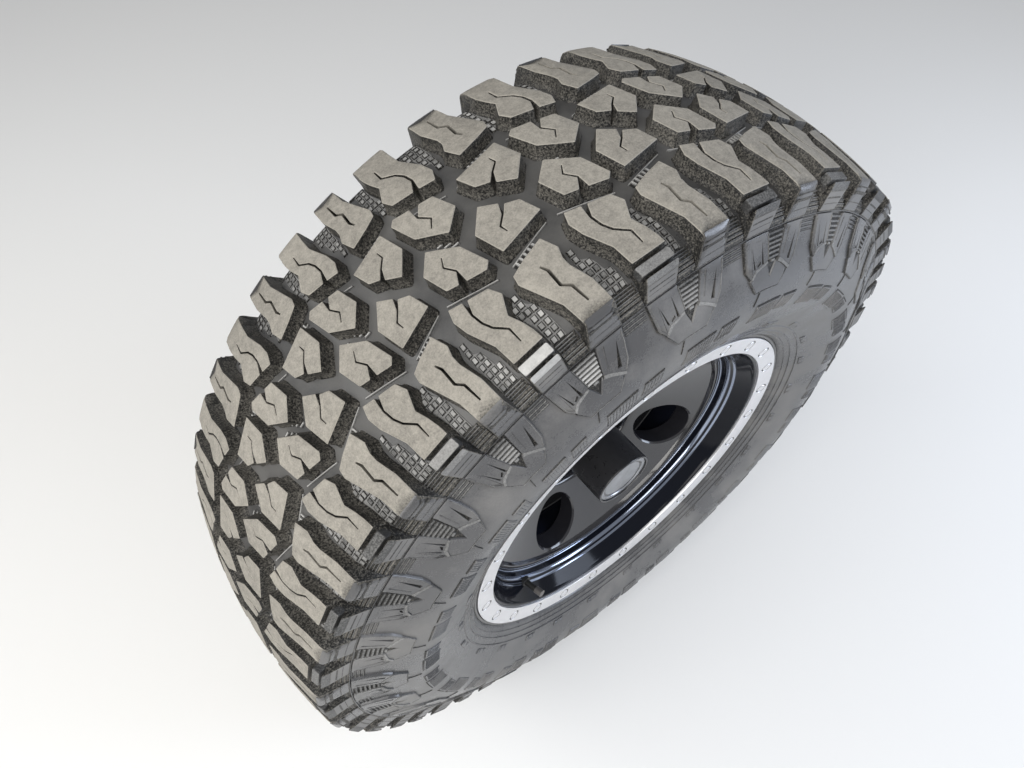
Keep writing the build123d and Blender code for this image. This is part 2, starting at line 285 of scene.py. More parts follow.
# %% Lamps and world
lamps = [
    # name, place, aim, width, height, power, colour
    ("overhead", (-1.15, -0.70, 2.00), (0.0, -0.08, 0.0), 2.0, 1.3, 29.5, (1.0, 0.985, 0.96)),
    ("side", (-2.10, -1.25, 0.95), (0.0, -0.15, 0.0), 1.2, 1.6, 28.0, (1.0, 0.98, 0.95)),
    ("far", (1.75, -1.60, 0.85), (0.0, -0.10, 0.0), 1.0, 1.4, 33.0, (0.74, 0.83, 1.0)),
    ("behind", (-1.90, 0.90, 1.50), (0.0, -0.10, 0.0), 1.4, 1.2, 20.0, (1.0, 0.99, 0.97)),
]
for name, place, aim, width, height, power, colour in lamps:
    lamp_data = bpy.data.lights.new(name, "AREA")
    lamp_data.shape = "RECTANGLE"
    lamp_data.size, lamp_data.size_y = width, height
    lamp_data.energy = power
    lamp_data.color = colour
    lamp = bpy.data.objects.new(name, lamp_data)
    lamp.location = place
    x, y, z = np.array(aim) - np.array(place)
    lamp.rotation_euler = (math.atan2(math.hypot(x, y), -z), 0.0, math.atan2(y, x) - math.pi / 2)
    scene.collection.objects.link(lamp)

world = bpy.data.worlds.new("workshop")
scene.world = world
world.use_nodes = True
sky = world.node_tree.nodes["Background"]
sky.inputs["Color"].default_value = (0.98, 0.985, 1.0, 1)
sky.inputs["Strength"].default_value = 0.42
print(len(lamps), "lamps and a pale world")

# %% [markdown]
# ## Rubber
#
# Tyre rubber is near black and satin. On the tread it is pale with road dust, which lies on the
# tops of the lugs and thins out down their walls. It could be painted as a picture, but then every
# lug would need its own place on that picture. Instead each tyre piece carries a number on every
# point, its dust, and the material mixes clean rubber and dust by that number and by three sizes of
# noise: wide smears, patches and specks. The same number also paints highlights: a bright ring
# along each lug's top edge, and pale pieces at the front pitch. A second number darkens the floor
# of the grooves towards near black, as painted shade.

# %% Rubber material
# painted shade: the near-black colour mixed into the floor of the grooves
painted_groove_shade = (0.012, 0.012, 0.011, 1)
dusty_roughness = 0.88


def rubber(name, clean, dust, roughness, shine, grain, thin, spread, even, smear):
    """Rubber whose cover, from 0 to 1, mixes the clean colour with the dust's.

    cover = dust number x patches + smears + specks x (even - dust number)
    The patches run from thin to 1.1, the smears from -smear to smear and the specks over the spread,
    so dusty tops look nearly plain and bare walls speckled.
    """
    material, tree, shader = shader_nodes(name)
    place = object_place(tree)
    dust_and_light_mark = mark(tree, "dust")
    mottle = noise(tree, place, 150.0, 8.0, 0.72)
    speck = noise(tree, place, 620.0, 3.0, 0.75)
    wide = noise(tree, place, 13.0, 4.0, 0.55)
    patches = remap(tree, mottle, thin, 1.10, 0.32, 0.66)
    smears = remap(tree, wide, -smear, smear, 0.38, 0.64)
    specks = remap(tree, speck, -spread / 2, spread / 2, 0.35, 0.65)
    specks = combine(tree, "MULTIPLY", specks, combine(tree, "SUBTRACT", even, dust_and_light_mark))
    cover = combine(tree, "ADD", combine(tree, "MULTIPLY", dust_and_light_mark, patches), smears)
    cover = combine(tree, "ADD", cover, specks, clamp=True)
    # painted shade: the second number mixes the floor of the grooves towards near black
    colour = mixed(tree, mark(tree, "painted_shade"), mixed(tree, cover, clean, dust), painted_groove_shade)
    tree.links.new(colour, shader.inputs["Base Color"])
    tree.links.new(remap(tree, cover, roughness, dusty_roughness), shader.inputs["Roughness"])
    shader.inputs["Specular IOR Level"].default_value = shine
    normal = bumped(tree, speck, grain, 0.0006)
    normal = bumped(tree, mottle, grain, 0.0012, Normal=normal)
    tree.links.new(normal, shader.inputs["Normal"])
    return material


# The scuffed rubber is pale for real scuffs and also for painted highlights: on the front pitch and along the
# shields' edges.
tread_rubber, side_rubber, scuffed_and_highlit_rubber = [rubber(*row) for row in (
    # name, clean colour, dust colour,
    # roughness, shine, grain, thin, spread, even, smear
    ("tread_rubber", (0.010, 0.0098, 0.0095, 1), (0.310, 0.291, 0.254, 1),
     0.50, 0.35, 0.36, 0.70, 0.54, 1.42, 0.07),
    ("side_rubber", (0.068, 0.068, 0.070, 1), (0.245, 0.238, 0.226, 1),
     0.26, 0.62, 0.14, 0.78, 0.16, 1.2, 0.30),
    ("scuffed_and_highlit_rubber", (0.030, 0.030, 0.030, 1), (0.50, 0.495, 0.48, 1),
     0.50, 0.40, 0.20, 0.80, 0.22, 1.4, 0.08),
)]
print("three rubbers: tread, sidewall and scuffed")

# %% [markdown]
# ## Two skins of a tyre
#
# A mud tyre is a smooth casing with thick lugs moulded on it. The lugs could be modelled in place,
# but the surface that they stand on bends two ways. So the file keeps two profiles with the same
# rows: the floor, which is the casing, and the top, which is where the lugs end. A place on the tyre
# is then three numbers: how far along the profile from the centre line, how far around, and a lift
# that runs from 0 on the floor to 1 on the top. Lugs, bars and combs are all flat outlines in the
# first two numbers, raised in the third.

# %% Tyre profiles
tyre_radius, crown_arc, groove_depth = 437.3, 560.0, 14.0
crown_stations = np.array([0, 12, 24, 36, 48, 60, 72, 84, 96, 106], float)
crown_radii = tyre_radius - crown_arc + np.sqrt(crown_arc**2 - crown_stations**2)
crown_rows = np.stack(
    [crown_stations, crown_radii, crown_stations, crown_radii - groove_depth, crown_stations], axis=1)
side_rows = np.array([
    # along, top radius, top station, floor radius, floor station
    (114.0, 425.77, 114.0, 411.2, 113.0),
    (122.0, 424.05, 122.0, 407.6, 119.4),
    (128.0, 422.30, 128.0, 404.0, 123.0),
    (133.0, 419.00, 131.2, 401.0, 125.4),
    (147.0, 405.00, 132.7, 395.6, 129.4),
    (158.0, 394.00, 133.4, 391.2, 132.2),
    (161.0, 391.00, 133.7, 389.6, 132.6),
    (164.0, 388.40, 134.6, 387.2, 132.2),
    (172.8, 380.00, 138.0, 378.9, 135.2),
    (183.6, 370.00, 142.0, 369.0, 139.2),
    (194.4, 360.00, 146.1, 359.1, 143.5),
    (205.2, 350.00, 149.9, 349.3, 147.6),
    (215.6, 340.00, 153.1, 339.5, 151.2),
    (226.0, 330.00, 155.6, 329.7, 154.0),
    (236.0, 320.00, 156.9, 319.9, 155.6),
    (246.0, 310.00, 156.8, 310.0, 155.6),
    (258.6, 297.60, 154.6, 297.8, 153.4),
    (271.8, 285.00, 151.0, 285.3, 149.8),
    (284.0, 273.40, 147.2, 273.8, 146.1),
    (296.2, 262.00, 143.0, 262.5, 141.9),
    (312.5, 247.30, 136.7, 247.9, 135.7),
    (322.0, 239.40, 131.5, 240.2, 130.7),
    (328.0, 236.60, 126.6, 237.4, 126.2),
])
profile_rows = np.concatenate([crown_rows, side_rows])
print(len(profile_rows), "rows from the centre line to the bead")


# %% Smooth profiles
def smooth_rows(rows, steps):
    """A cubic through the rows: each span uses the rows' mean slopes at its two ends."""
    x, y = rows[:, 0], rows[:, 1:]
    slope = np.gradient(y, x, axis=0)
    at = np.linspace(x[0], x[-1], steps)
    i = np.clip(np.searchsorted(x, at) - 1, 0, len(x) - 2)
    span = (x[i + 1] - x[i])[:, None]
    t = ((at - x[i]) / (x[i + 1] - x[i]))[:, None]
    value = (2 * t**3 - 3 * t**2 + 1) * y[i] + (t**3 - 2 * t**2 + t) * span * slope[i]
    value += (3 * t**2 - 2 * t**3) * y[i + 1] + (t**3 - t**2) * span * slope[i + 1]
    return at, value


fine_along, fine_skin = smooth_rows(profile_rows, 1400)


def skin_rows(along):
    """Top radius, top station, floor radius and floor station at a place on either side."""
    return [np.interp(np.abs(along), fine_along, fine_skin[:, c]) for c in range(4)]


def skin_depth(along):
    """The distance between floor and top at a place along the profile."""
    top_radius, top_station, floor_radius, floor_station = skin_rows(along)
    return np.hypot(top_radius - floor_radius, top_station - floor_station)


print("profile length from the centre line:", fine_along[-1], "mm")
print("depth of the grooves:", skin_depth(np.array([0.0, 128.0, 200.0])).round(1), "mm")

# %% [markdown]
# ## Pitches of two lengths
#
# Equal lugs would hum, so tyre makers cut the pattern in pitches of a few lengths and mix them round
# the tyre. Here each pitch has two halves, one per shoulder lug, and a half is short or long. The
# order was read off the photograph where it shows the tread, and goes on in the same way round the back.

# %% Pitch table
reference_half = 50.75
first_half_angle = 118.15
half_degrees = {"S": 6.48, "L": 7.98}
half_order = "SSSSSSSSSSLLLSSLSSSLLLSSSLLSSSLLSSLLSSLLLLLLLLLLLS"
half_count = len(half_order)
pitch_count = half_count // 2
front_pitch = 24.1
half_starts = first_half_angle + np.cumsum([0.0] + [half_degrees[letter] for letter in half_order])
print(pitch_count, "pitches, closing at", round(half_starts[-1] - first_half_angle, 4), "degrees")


# %% Places on the tyre
def pitch_angle(pitch, around):
    """The angle at a distance round from a pitch's start: the table of starts, read between its rows."""
    turns = 2 * pitch + around / reference_half
    whole = np.floor(turns / half_count)
    return np.interp(turns - whole * half_count, np.arange(half_count + 1), half_starts) + 360 * whole


def inboard_lag(angle):
    """The inboard half of the tread sits up to 1.6 degrees back from the outboard half."""
    turn = (angle - first_half_angle + 180) % 360 - 180
    return np.interp(turn, [-180, -120, -68, -47, -30, -14, 0], [0, -0.6, -1.6, -1.6, -1.4, -0.7, 0])


def tyre_points(along, around, lift, pitch, side):
    """Between floor and top by the lift; the inboard side is the outboard one turned half round."""
    top_radius, top_station, floor_radius, floor_station = skin_rows(along)
    radius = floor_radius + (top_radius - floor_radius) * lift
    station = (floor_station + (top_station - floor_station) * lift) * np.where(along < 0, -1, 1)
    angle = pitch_angle(pitch, around * side)
    angle = angle + (inboard_lag(angle) if side < 0 else 0)
    return wheel_points(radius, station * side, angle)


print("pitch 24 starts at", round(float(pitch_angle(24, 0.0)), 2), "degrees")

# %% [markdown]
# ## Casing
#
# The casing is the floor profile, out over one bead, across the tread and back inside, carried
# round the axis. It is one closed surface, so the inner liner is there as well. A Screw modifier
# could turn it too. Arrays are used because its dust and its darkening number then follow from the
# same radii: the floor of the grooves carries dust, and is darkened as painted shade.

# %% Casing profile
casing_columns = 300
bead = np.array([
    (236.1, 122.0), (236.1, 114.6), (233.0, 114.1), (219.4, 114.1), (218.7, 113.0), (218.7, 93.5),
    (222.0, 92.2),
])
liner = np.array([
    (245.0, 113.0), (262.0, 131.0), (290.0, 143.5), (325.0, 147.0), (360.0, 138.0), (388.0, 118.0),
    (404.0, 92.0), (409.0, 60.0), (409.5, 0.0),
])
outboard_half = np.concatenate([fine_skin[::12, 2:4], bead, liner])
inboard_half = outboard_half[::-1][1:-1] * (1, -1)
casing_profile = np.concatenate([outboard_half, inboard_half])
print("casing profile has", len(casing_profile), "points")

# %% Tyre casing
casing_radius, casing_station = casing_profile.T
floor_dust = np.interp(casing_radius, [380, 392, 402, 410, 424], [0.0, 0.05, 0.08, 0.38, 0.42])
floor_dust = np.where(np.abs(casing_station) > 131, 0.16, floor_dust)
# painted shade: the floor of the grooves is marked to be darkened towards near black
groove_floor_shade = np.interp(casing_radius, [402, 410, 424], [0.0, 0.52, 0.54])
tyre_casing = make_piece(
    "tyre_casing", [turned(casing_profile, casing_columns)], "wheel", side_rubber,
    marks={"dust": np.repeat(floor_dust, casing_columns), "painted_shade": np.repeat(groove_floor_shade, casing_columns)})
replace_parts(tyre_casing, "tyre")

# %% [markdown]
# ## Flat outlines
#
# Everything on the tread starts as a flat outline, like a paper pattern, because a pattern can be
# read off the photograph and changed point by point. Three things are done to outlines: they are
# grown or shrunk by a distance, their long sides are divided so that they can bend with the tyre,
# and thin slots, the sipes, are cut into them or right through them.

# %% Outline helpers
def grown(outline, distance):
    """Each corner moves out along the sum of its two side normals, n1 + n2, divided by 1 + n1.n2."""
    side = np.roll(outline, -1, 0) - outline
    normal = np.stack([side[:, 1], -side[:, 0]], axis=1) / np.linalg.norm(side, axis=1, keepdims=True)
    before = np.roll(normal, 1, 0)
    share = np.maximum(1 + (normal * before).sum(1, keepdims=True), 0.45)
    return outline + distance * (normal + before) / share


def divided(outline, longest):
    """Equal steps along each side, so that no step is longer than the given length."""
    outline = np.array(outline, float)
    way = np.roll(outline, -1, 0) - outline
    steps = np.ceil(np.linalg.norm(way, axis=1) / longest).astype(int)
    share = np.concatenate([np.arange(n) / n for n in steps])[:, None]
    return np.repeat(outline, steps, 0) + share * np.repeat(way, steps, 0)


def turn_area(outline):
    """Half the sum of x1 y2 - x2 y1: positive when the outline runs anticlockwise."""
    x, y = outline.T
    return 0.5 * (x * np.roll(y, -1) - np.roll(x, -1) * y).sum()


def inside(points, outline):
    """A point is inside when a ray from it crosses the outline an odd number of times."""
    a, b = outline, np.roll(outline, -1, 0)
    px, py = points[:, :1], points[:, 1:]
    crosses = (a[:, 1] > py) != (b[:, 1] > py)
    with np.errstate(divide="ignore", invalid="ignore"):
        at = a[:, 0] + (py - a[:, 1]) * (b[:, 0] - a[:, 0]) / (b[:, 1] - a[:, 1])
    return (crosses & (px < at)).sum(1) % 2 == 1


unit_square = np.array([(0, 0), (1, 0), (1, 1), (0, 1)], float)
print("a unit square has the area", turn_area(unit_square))

# %% Slots and cuts
pointed = 0.6


def line_sides(line, width, ends):
    """The two sides of a line, line + n w/2 and line - n w/2, narrower at the ends that are named."""
    line = np.array(line, float)
    way = np.gradient(line, axis=0)
    normal = np.stack([way[:, 1], -way[:, 0]], axis=1) / np.linalg.norm(way, axis=1, keepdims=True)
    half = np.full((len(line), 1), width / 2)
    half[ends] *= pointed
    return line + normal * half, line - normal * half


def slot_outline(line, width):
    """A thin closed slot round a line, pointed at both ends."""
    one, other = line_sides(line, width, [0, -1])
    return np.concatenate([one, other[::-1]])


def sipe_cut(mouth_in, mouth_out, line, width):
    """The way into a block along one side of a line and out along its other side."""
    out, way_in = line_sides(line, width, [-1])
    return [mouth_in, *way_in.tolist(), *out[::-1].tolist(), mouth_out]


print("slots and cuts narrow to", pointed, "of their width")

# %% [markdown]
# ## Lugs from outlines
#
# A lug is a flat outline with walls. Extruding and bevelling would make the walls, and Boolean cuts
# the sipes, but a stack of levels is quicker and each level can carry its own dust. The outline is
# grown at each level: wide at the root, so that it runs into the casing, narrower up the wall, and
# drawn in at the top edge as a small bevel. The top and the hidden bottom are cut into triangles
# round the sipes, which are thin slots right through the lug.

# %% Triangles for a flat top
def cap_triangles(outline, holes, spacing):
    """Triangles inside the outline and outside its holes, with loose points so it can bend."""
    low, high = outline.min(0), outline.max(0)
    count = np.maximum(((high - low) / spacing).astype(int), 0)
    u = low[0] + (np.arange(count[0]) + 0.5) * (high[0] - low[0]) / max(count[0], 1)
    v = low[1] + (np.arange(count[1]) + 0.5) * (high[1] - low[1]) / max(count[1], 1)
    loose = np.stack(np.meshgrid(u, v), -1).reshape(-1, 2)
    keep = inside(loose, grown(outline, -2.0)) if len(loose) else np.zeros(0, bool)
    for hole in holes:
        keep &= ~inside(loose, grown(hole, 1.5))
    rings = [outline] + list(holes)
    points = np.concatenate(rings + [loose[keep]])
    starts = np.cumsum([0] + [len(r) for r in rings])
    edges = [(s + i, s + (i + 1) % len(r)) for s, r in zip(starts, rings) for i in range(len(r))]
    found, _, triangles, origin, _, _ = delaunay_2d_cdt(points.tolist(), edges, [], 0, 1e-5)
    back = np.array([o[0] if o else -1 for o in origin])
    triangles = np.array([t for t in triangles if len(t) == 3])
    middle = np.array([list(p) for p in found])[triangles].mean(1)
    use = inside(middle, outline)
    for hole in holes:
        use &= ~inside(middle, hole)
    return points, back[triangles[use]], starts


print("a unit square is cut into", len(cap_triangles(unit_square, [], 9.0)[1]), "triangles")


# %% Lug maker
def at_level(flat, lift, dust):
    """Flat points with the same lift and the same dust added to each."""
    return np.column_stack([flat, np.full(len(flat), lift), np.full(len(flat), dust)])


def wall(low, high, count):
    """Two triangles between each pair of neighbours on two rings that start at low and high."""
    i = np.arange(count)
    j = (i + 1) % count
    return np.concatenate([
        np.stack([low + i, low + j, high + j], 1),
        np.stack([low + i, high + j, high + i], 1),
    ])


def raised(outline, levels, holes=(), corner=1.2, spacing=16.0):
    """A closed block as (along, around, lift, dust) points with its triangles.

    levels are rows of (lift, growth, dust) from the root to the top.
    """
    outline = np.array(outline, float)
    if turn_area(outline) < 0:
        outline = outline[::-1]
    if corner:
        outline = rounded(outline, corner, 3)
    holes = [h if turn_area(h) < 0 else h[::-1] for h in holes]
    count = len(outline)
    bottom_lift, bottom_growth, _ = levels[0]
    top_lift, top_growth, top_dust = levels[-1]
    flat, triangles, starts = cap_triangles(grown(outline, top_growth), holes, spacing)
    bottom = flat.copy()
    bottom[:count] = grown(outline, bottom_growth)
    rings = [at_level(grown(outline, growth), lift, dust) for lift, growth, dust in levels[1:-1]]
    points = np.concatenate([at_level(bottom, bottom_lift, 0.0), *rings, at_level(flat, top_lift, top_dust)])
    ring_starts = [0] + [len(flat) + count * i for i in range(len(rings) + 1)]
    top_start = ring_starts[-1]
    faces = [triangles + top_start, triangles[:, ::-1]]
    faces += [wall(low, high, count) for low, high in zip(ring_starts[:-1], ring_starts[1:])]
    faces += [wall(start, top_start + start, len(hole)) for start, hole in zip(starts[1:], holes)]
    return points, np.concatenate(faces)


print("blocks are outlines raised in levels")

# %% [markdown]
# ## Round the whole tyre
#
# A block is drawn once, on one pitch, and laid out at all twenty-five. An Array modifier repeats at
# one even step, but these pitches have two lengths, so the places are worked out. Some pieces are
# painted palest at the front pitch, where the photograph shows them brightest: this is a painted
# highlight, carried by the dust number. So a piece can say what share of it is left further round.

# %% Laying out
shoulder_fade = [124.0, 129.0]
bell_width = 0.9


def lay_out(blocks, name, material, sides=(1, -1), sharp=32.0, side_dust=1.0, vary=0.0, rest=1.0):
    """Every block at every pitch on each side, worked out as whole arrays, as one piece.

    side_dust is the share of dust left beyond the shoulder's edge. vary takes dust off a block by a
    share that changes with the pitch and with the block's number. The dust is full at the front
    pitch, a painted highlight there, and falls to the rest share by a bell curve,
    exp(-distance squared / bell width).
    """
    shapes, dust = [], []
    pitch = np.arange(pitch_count)[:, None]
    away = (pitch - front_pitch + pitch_count / 2) % pitch_count - pitch_count / 2
    # painted highlight: 1 at the front pitch, falling to the rest share further round
    near = rest + (1 - rest) * np.exp(-away**2 / bell_width)
    for number, (points, faces) in enumerate(blocks):
        along, around, lift, point_dust_and_light = points.T
        edge_share = np.interp(np.abs(along), shoulder_fade, [1.0, side_dust])
        share = (1 - vary * ((5 * pitch + 7 * number + 3 * number * pitch + 1) % 11) / 10) * near
        offset = (np.arange(pitch_count) * len(points))[:, None, None]
        for side in sides:
            placed = tyre_points(along, around, lift, pitch, side)
            shapes.append((placed.reshape(-1, 3), (faces + offset).reshape(-1, 3)))
            dust.append((point_dust_and_light * edge_share * share).ravel())
    return make_piece(name, shapes, "wheel", material, sharp, {"dust": np.concatenate(dust)})


lug_levels = [
    # lift, growth, dust
    (-0.12, 3.6, 0.0),
    (0.04, 3.0, 0.08),
    (0.14, 1.9, 0.20),
    (0.36, 1.15, 0.22),
    (0.70, 0.7, 0.14),
    (0.955, 0.30, 0.02),
    # painted highlight: this ring just under the top edge carries more dust than the top, so the lug's rim
    # shows as a bright line
    (0.975, 0.10, 1.3),
    (1.0, -0.35, 0.88),
]
print("a lug's wall has", len(lug_levels), "levels")

# %% [markdown]
# ## The tread's lugs
#
# One pitch holds eight lugs: two shoulder lugs and two centre blocks on each side of the centre line.
# The outlines below are (along, around) in millimetres on a pitch of reference length, read off the
# photograph after its view was unrolled on the crown. The inboard four are the outboard four turned
# half round the centre point.

# %% Centre blocks
arrow_cut = sipe_cut((8.9, 3.0), (12.7, 0.0), [(19.5, 6.0), (27, 12.9), (34.2, 11.8)], 1.9)
house_cut = sipe_cut((43.8, 52.6), (41.6, 59.5), [(31.5, 53.2), (21.7, 58.9), (13.4, 54.4)], 1.9)
block_arrow = [(18, -9), (36.5, -13.5), (45.5, 23), (19, 28.5), (-0.5, 14), *arrow_cut]
block_house = [(17, 40.5), (43, 34), (48, 38.5), *house_cut, (38.5, 69.5), (15.5, 75), (-0.5, 60.5)]
centre_blocks = [raised(block, lug_levels, corner=0.6) for block in (block_arrow, block_house)]
lay_out(centre_blocks, "centre_blocks", tread_rubber)

# %% Shoulder lugs
lug_plain = [
    (56.5, 1), (71, -3.5), (80, -0.5), (88, -0.5), (107, -5), (124, -5.4), (130, -5.5), (160, -6.5),
    (160, 22.4), (130, 18.5), (124, 18.9), (109, 20), (75, 31.5), (67, 30), (62, 18.5),
]
plain_sipe = slot_outline([(75, 14.1), (81, 11.8), (96, 12.6), (101.5, 7.6), (118, 6.5)], 2.5)
stepped_cut = sipe_cut(
    (55.0, 67.7), (56.3, 63.0), [(67.6, 68.3), (77.8, 67.0), (86, 63.5), (95, 55.2), (108, 55.2)], 2.2)
lug_stepped = [
    (60.5, 46.8), (71, 42.5), (79, 46), (87, 49.5), (98, 46), (108, 44), (116.4, 43.4),
    (116.4, 71.0), (98, 72), (75, 80.5), (62, 82.5), (51.5, 79), *stepped_cut,
]
lug_bridge = [(112, 44.0), (131, 43.0), (160, 43.0), (160, 71.0), (131, 70.5), (112, 71.0)]
bridge_levels = [(-0.12, 2.4, 0.02), (0.1, 1.5, 0.0), (0.50, 0.3, 0.0), (0.54, 0.0, 0.0)]
lug_end = [(132.6, 42.9), (138, 42.8), (160, 43.0), (160, 71.0), (138, 71.0), (132.6, 70.8)]
end_levels = [(0.3, 0.6, 0.0), (0.96, 0.2, 0.3), (1.0, -0.3, 1.6)]
shoulder_lugs = [
    raised(lug_plain, lug_levels, [plain_sipe], corner=0.6),
    raised(lug_stepped, lug_levels, corner=0.6),
    raised(lug_bridge, bridge_levels, spacing=10.0),
    raised(lug_end, end_levels, spacing=7.0),
]
lay_out(shoulder_lugs, "shoulder_lugs", tread_rubber, side_dust=0.30)

# %% [markdown]
# ## The ends of the shoulder lugs
#
# Every second shoulder lug has a step near its end. On the outboard side the step leaves a land with
# a dark slot before and after it, and the front pitch shows it best, where the land and the end are
# painted pale as a highlight. The ends themselves are smooth like the sidewall and crossed by fine
# lines. On the inboard side the step is nearly filled.

# %% Lands and end faces
lug_land = [(120.2, 43.6), (128.6, 43.2), (128.6, 71.2), (120.2, 71.8)]
lug_end_pale = [(132.8, 43.2), (141.0, 43.1), (141.0, 70.7), (132.8, 70.5)]
outboard_lands = [
    raised(lug_land, [(0.4, 0.6, 0.0), (0.86, 0.2, 0.1), (0.89, -0.3, 0.88)]),
    raised(lug_end_pale, [(0.9, 0.0, 0.1), (1.035, -0.2, 0.8)], spacing=3.0),
]
# painted highlight: the land and the pale end are palest at the front pitch and a sixth as pale further round
lay_out(outboard_lands, "outboard_lands", scuffed_and_highlit_rubber, sides=(1,), rest=0.16)
plain_face = [(127.5, -5.0), (159.6, -6.2), (159.6, 21.9), (131, 18.4), (127.5, 18.4)]
stepped_face = [(141.6, 43.2), (159.6, 43.3), (159.6, 70.6), (141.6, 70.4)]
lug_faces = [
    raised(plain_face, [(0.9, 0.0, 0.0), (1.03, -0.2, 0.0)], spacing=4.0),
    raised(stepped_face, [(0.9, 0.0, 0.0), (1.03, -0.2, 0.45)], spacing=4.0),
]
lay_out(lug_faces, "lug_faces", side_rubber)

# %% End lines and inboard lands
end_lines = []
for along, width, around_0, around_1 in (
    (136.4, 0.8, -4.6, 18.6), (141.0, 3.2, -5.0, 19.2), (151.5, 0.9, -5.6, 20.6),
    (146.0, 2.6, 43.6, 70.3), (153.0, 0.9, 43.6, 70.3),
):
    corners = [(along, around_0), (along + width, around_0), (along + width, around_1), (along, around_1)]
    line_levels = [(0.98, 0.2, 0.05), (1.042, -0.1, 0.13)]
    end_lines.append(raised(divided(corners, 6.0), line_levels, corner=0.0))
lay_out(end_lines, "lug_end_lines", tread_rubber)
inboard_land = [(115.6, 43.6), (124.0, 43.3), (133.4, 43.0), (133.4, 70.8), (124.0, 71.2), (115.6, 71.4)]
inboard_levels = [(0.4, 0.4, 0.0), (0.95, 0.1, 0.3), (0.985, -0.3, 0.88)]
lay_out([raised(inboard_land, inboard_levels, spacing=6.0)], "inboard_lands", tread_rubber, sides=(-1,))

# %% [markdown]
# ## Low relief
#
# Squares, bars and shields stand only a millimetre or two over the casing. They could be a bump in
# the rubber's material, but real faces catch the light at their edges and stay in the mesh when it
# is exported. They come from the same lug maker, with their heights given in millimetres.

# %% Low relief maker
def low_relief(outline, height, slope=0.5, holes=(), corner=0.6, spacing=16.0, dust=0.0, longest=6.0):
    """A low plate: the lift at each point is its height over the casing divided by the depth there."""
    outline = divided(outline, longest)
    levels = [(-1.6, slope + 0.3, 0.0), (height - 0.5, slope * 0.35, dust * 0.4), (height, -0.2, dust)]
    points, faces = raised(outline, levels, holes, corner, spacing)
    points[:, 2] = points[:, 2] / skin_depth(points[:, 0])
    return points, faces


def strip(along_0, along_1, around_0, around_1, lean=0.0):
    """A four-cornered outline: two ends along the profile and two limits around, which may lean."""
    return [(along_0, around_0), (along_1, around_0 + lean), (along_1, around_1 + lean), (along_0, around_1)]


def bar(along_0, along_1, around_0, around_1, height, slope=0.3, dust=0.0, lean=0.0, **more):
    """A low plate over a strip, with crisp corners."""
    outline = strip(along_0, along_1, around_0, around_1, lean)
    return low_relief(outline, height, slope, corner=0.0, dust=dust, **more)


def crease(line, width, height, dust=0.0, slope=0.15):
    """A narrow raised line through the given places."""
    return low_relief(slot_outline(line, width), height, slope, corner=0.0, dust=dust)


print("low relief has", len(bar(0, 5, 0, 5, 1.0)[1]), "triangles on a small square")

# %% [markdown]
# ## Stone squares and shoulder bars
#
# Between the shoulder lugs lies a low bed with rows of small squares, which throw stones out. They
# are scuffed pale, some more than others, and palest at the front pitch as a painted highlight. Each
# stands in a dark square, a painted shade round its foot. Below them a few bars step down to the
# parting line of the mould.

# %% Beds and squares
valley_beds = [
    [(70.5, 36.2), (82, 34.8), (87, 30.6), (95.3, 29.2), (121.4, 28.6), (121.4, 40.4), (102.3, 41.0),
     (83.2, 46.0), (76.6, 42.8)],
    [(70.5, 89.4), (83, 89.0), (86, 84.0), (92, 82.8), (100, 82.0), (101, 77.2), (121.4, 76.6),
     (121.4, 93.6), (90.0, 94.6), (78.0, 94.4)],
]
beds = [low_relief(bed, 0.7, 0.3, dust=0.34, longest=9.0) for bed in valley_beds]
lay_out(beds, "valley_beds", scuffed_and_highlit_rubber)
stone_squares = [
    # along, around
    (74, 37.6), (81, 37.6), (81.6, 42.8), (89, 32.5), (88.7, 37.5), (88.2, 42.2), (96, 31.9), (96, 37.5),
    (103.6, 31.9), (103.6, 37.3), (111, 31.7), (111, 37.3), (118.5, 31.8), (118.5, 37.4),
    (73.9, 91.1), (81, 91.6), (88.7, 86.2), (88.1, 91.6), (95.9, 85.5), (96.1, 91.0), (103.6, 85.3),
    (103.7, 90.7), (103.9, 79.9), (110.9, 84.8), (110.9, 90.2), (110.8, 79.4), (118.5, 85), (118.5, 90.4),
    (118.4, 79.6),
]
scuffed_and_highlit = [bar(u - 2.2, u + 2.2, v - 1.6, v + 1.6, 1.5, 0.2, 0.95, 0.3) for u, v in stone_squares]
# painted shade: a dark square under each scuffed one shows as a dark outline round its foot
dark = [bar(u - 2.95, u + 2.95, v - 2.25, v + 2.25, 1.25, 0.15, 0.0, 0.4) for u, v in stone_squares]
print(len(stone_squares), "squares on each side of a pitch")

# %% Shoulder bars
valleys = [(25.0, 40.6), (75.5, 94.8)]
for low, high in valleys:
    dark.append(bar(122.0, 161.0, low - 2.0, high, 0.5, 0.2, 0.16, spacing=9.0))
    for u in (123.4, 126.4, 129.6):
        scuffed_and_highlit.append(bar(u, u + 1.0, low, high, 1.9, dust=0.50))
    for u in (133.6, 141.6, 149.8):
        scuffed_and_highlit.append(bar(u, u + 1.3, low - 2.0, high, 2.7, dust=0.50))
        dark.append(bar(u + 1.7, u + 5.4, low - 2.0, high, 2.0, 0.4, 0.36))
print(len(scuffed_and_highlit), "scuffed squares and bars,", len(dark), "dark ones so far")

# %% [markdown]
# ## Ribs in the grooves
#
# A thin pale rib runs along two of the grooves between the centre blocks, and two short flights of
# steps, which also throw stones out, lie beside the blocks. They are bars and creases as before, and
# then all the low pieces of the tread are laid out together, one piece for each finish.

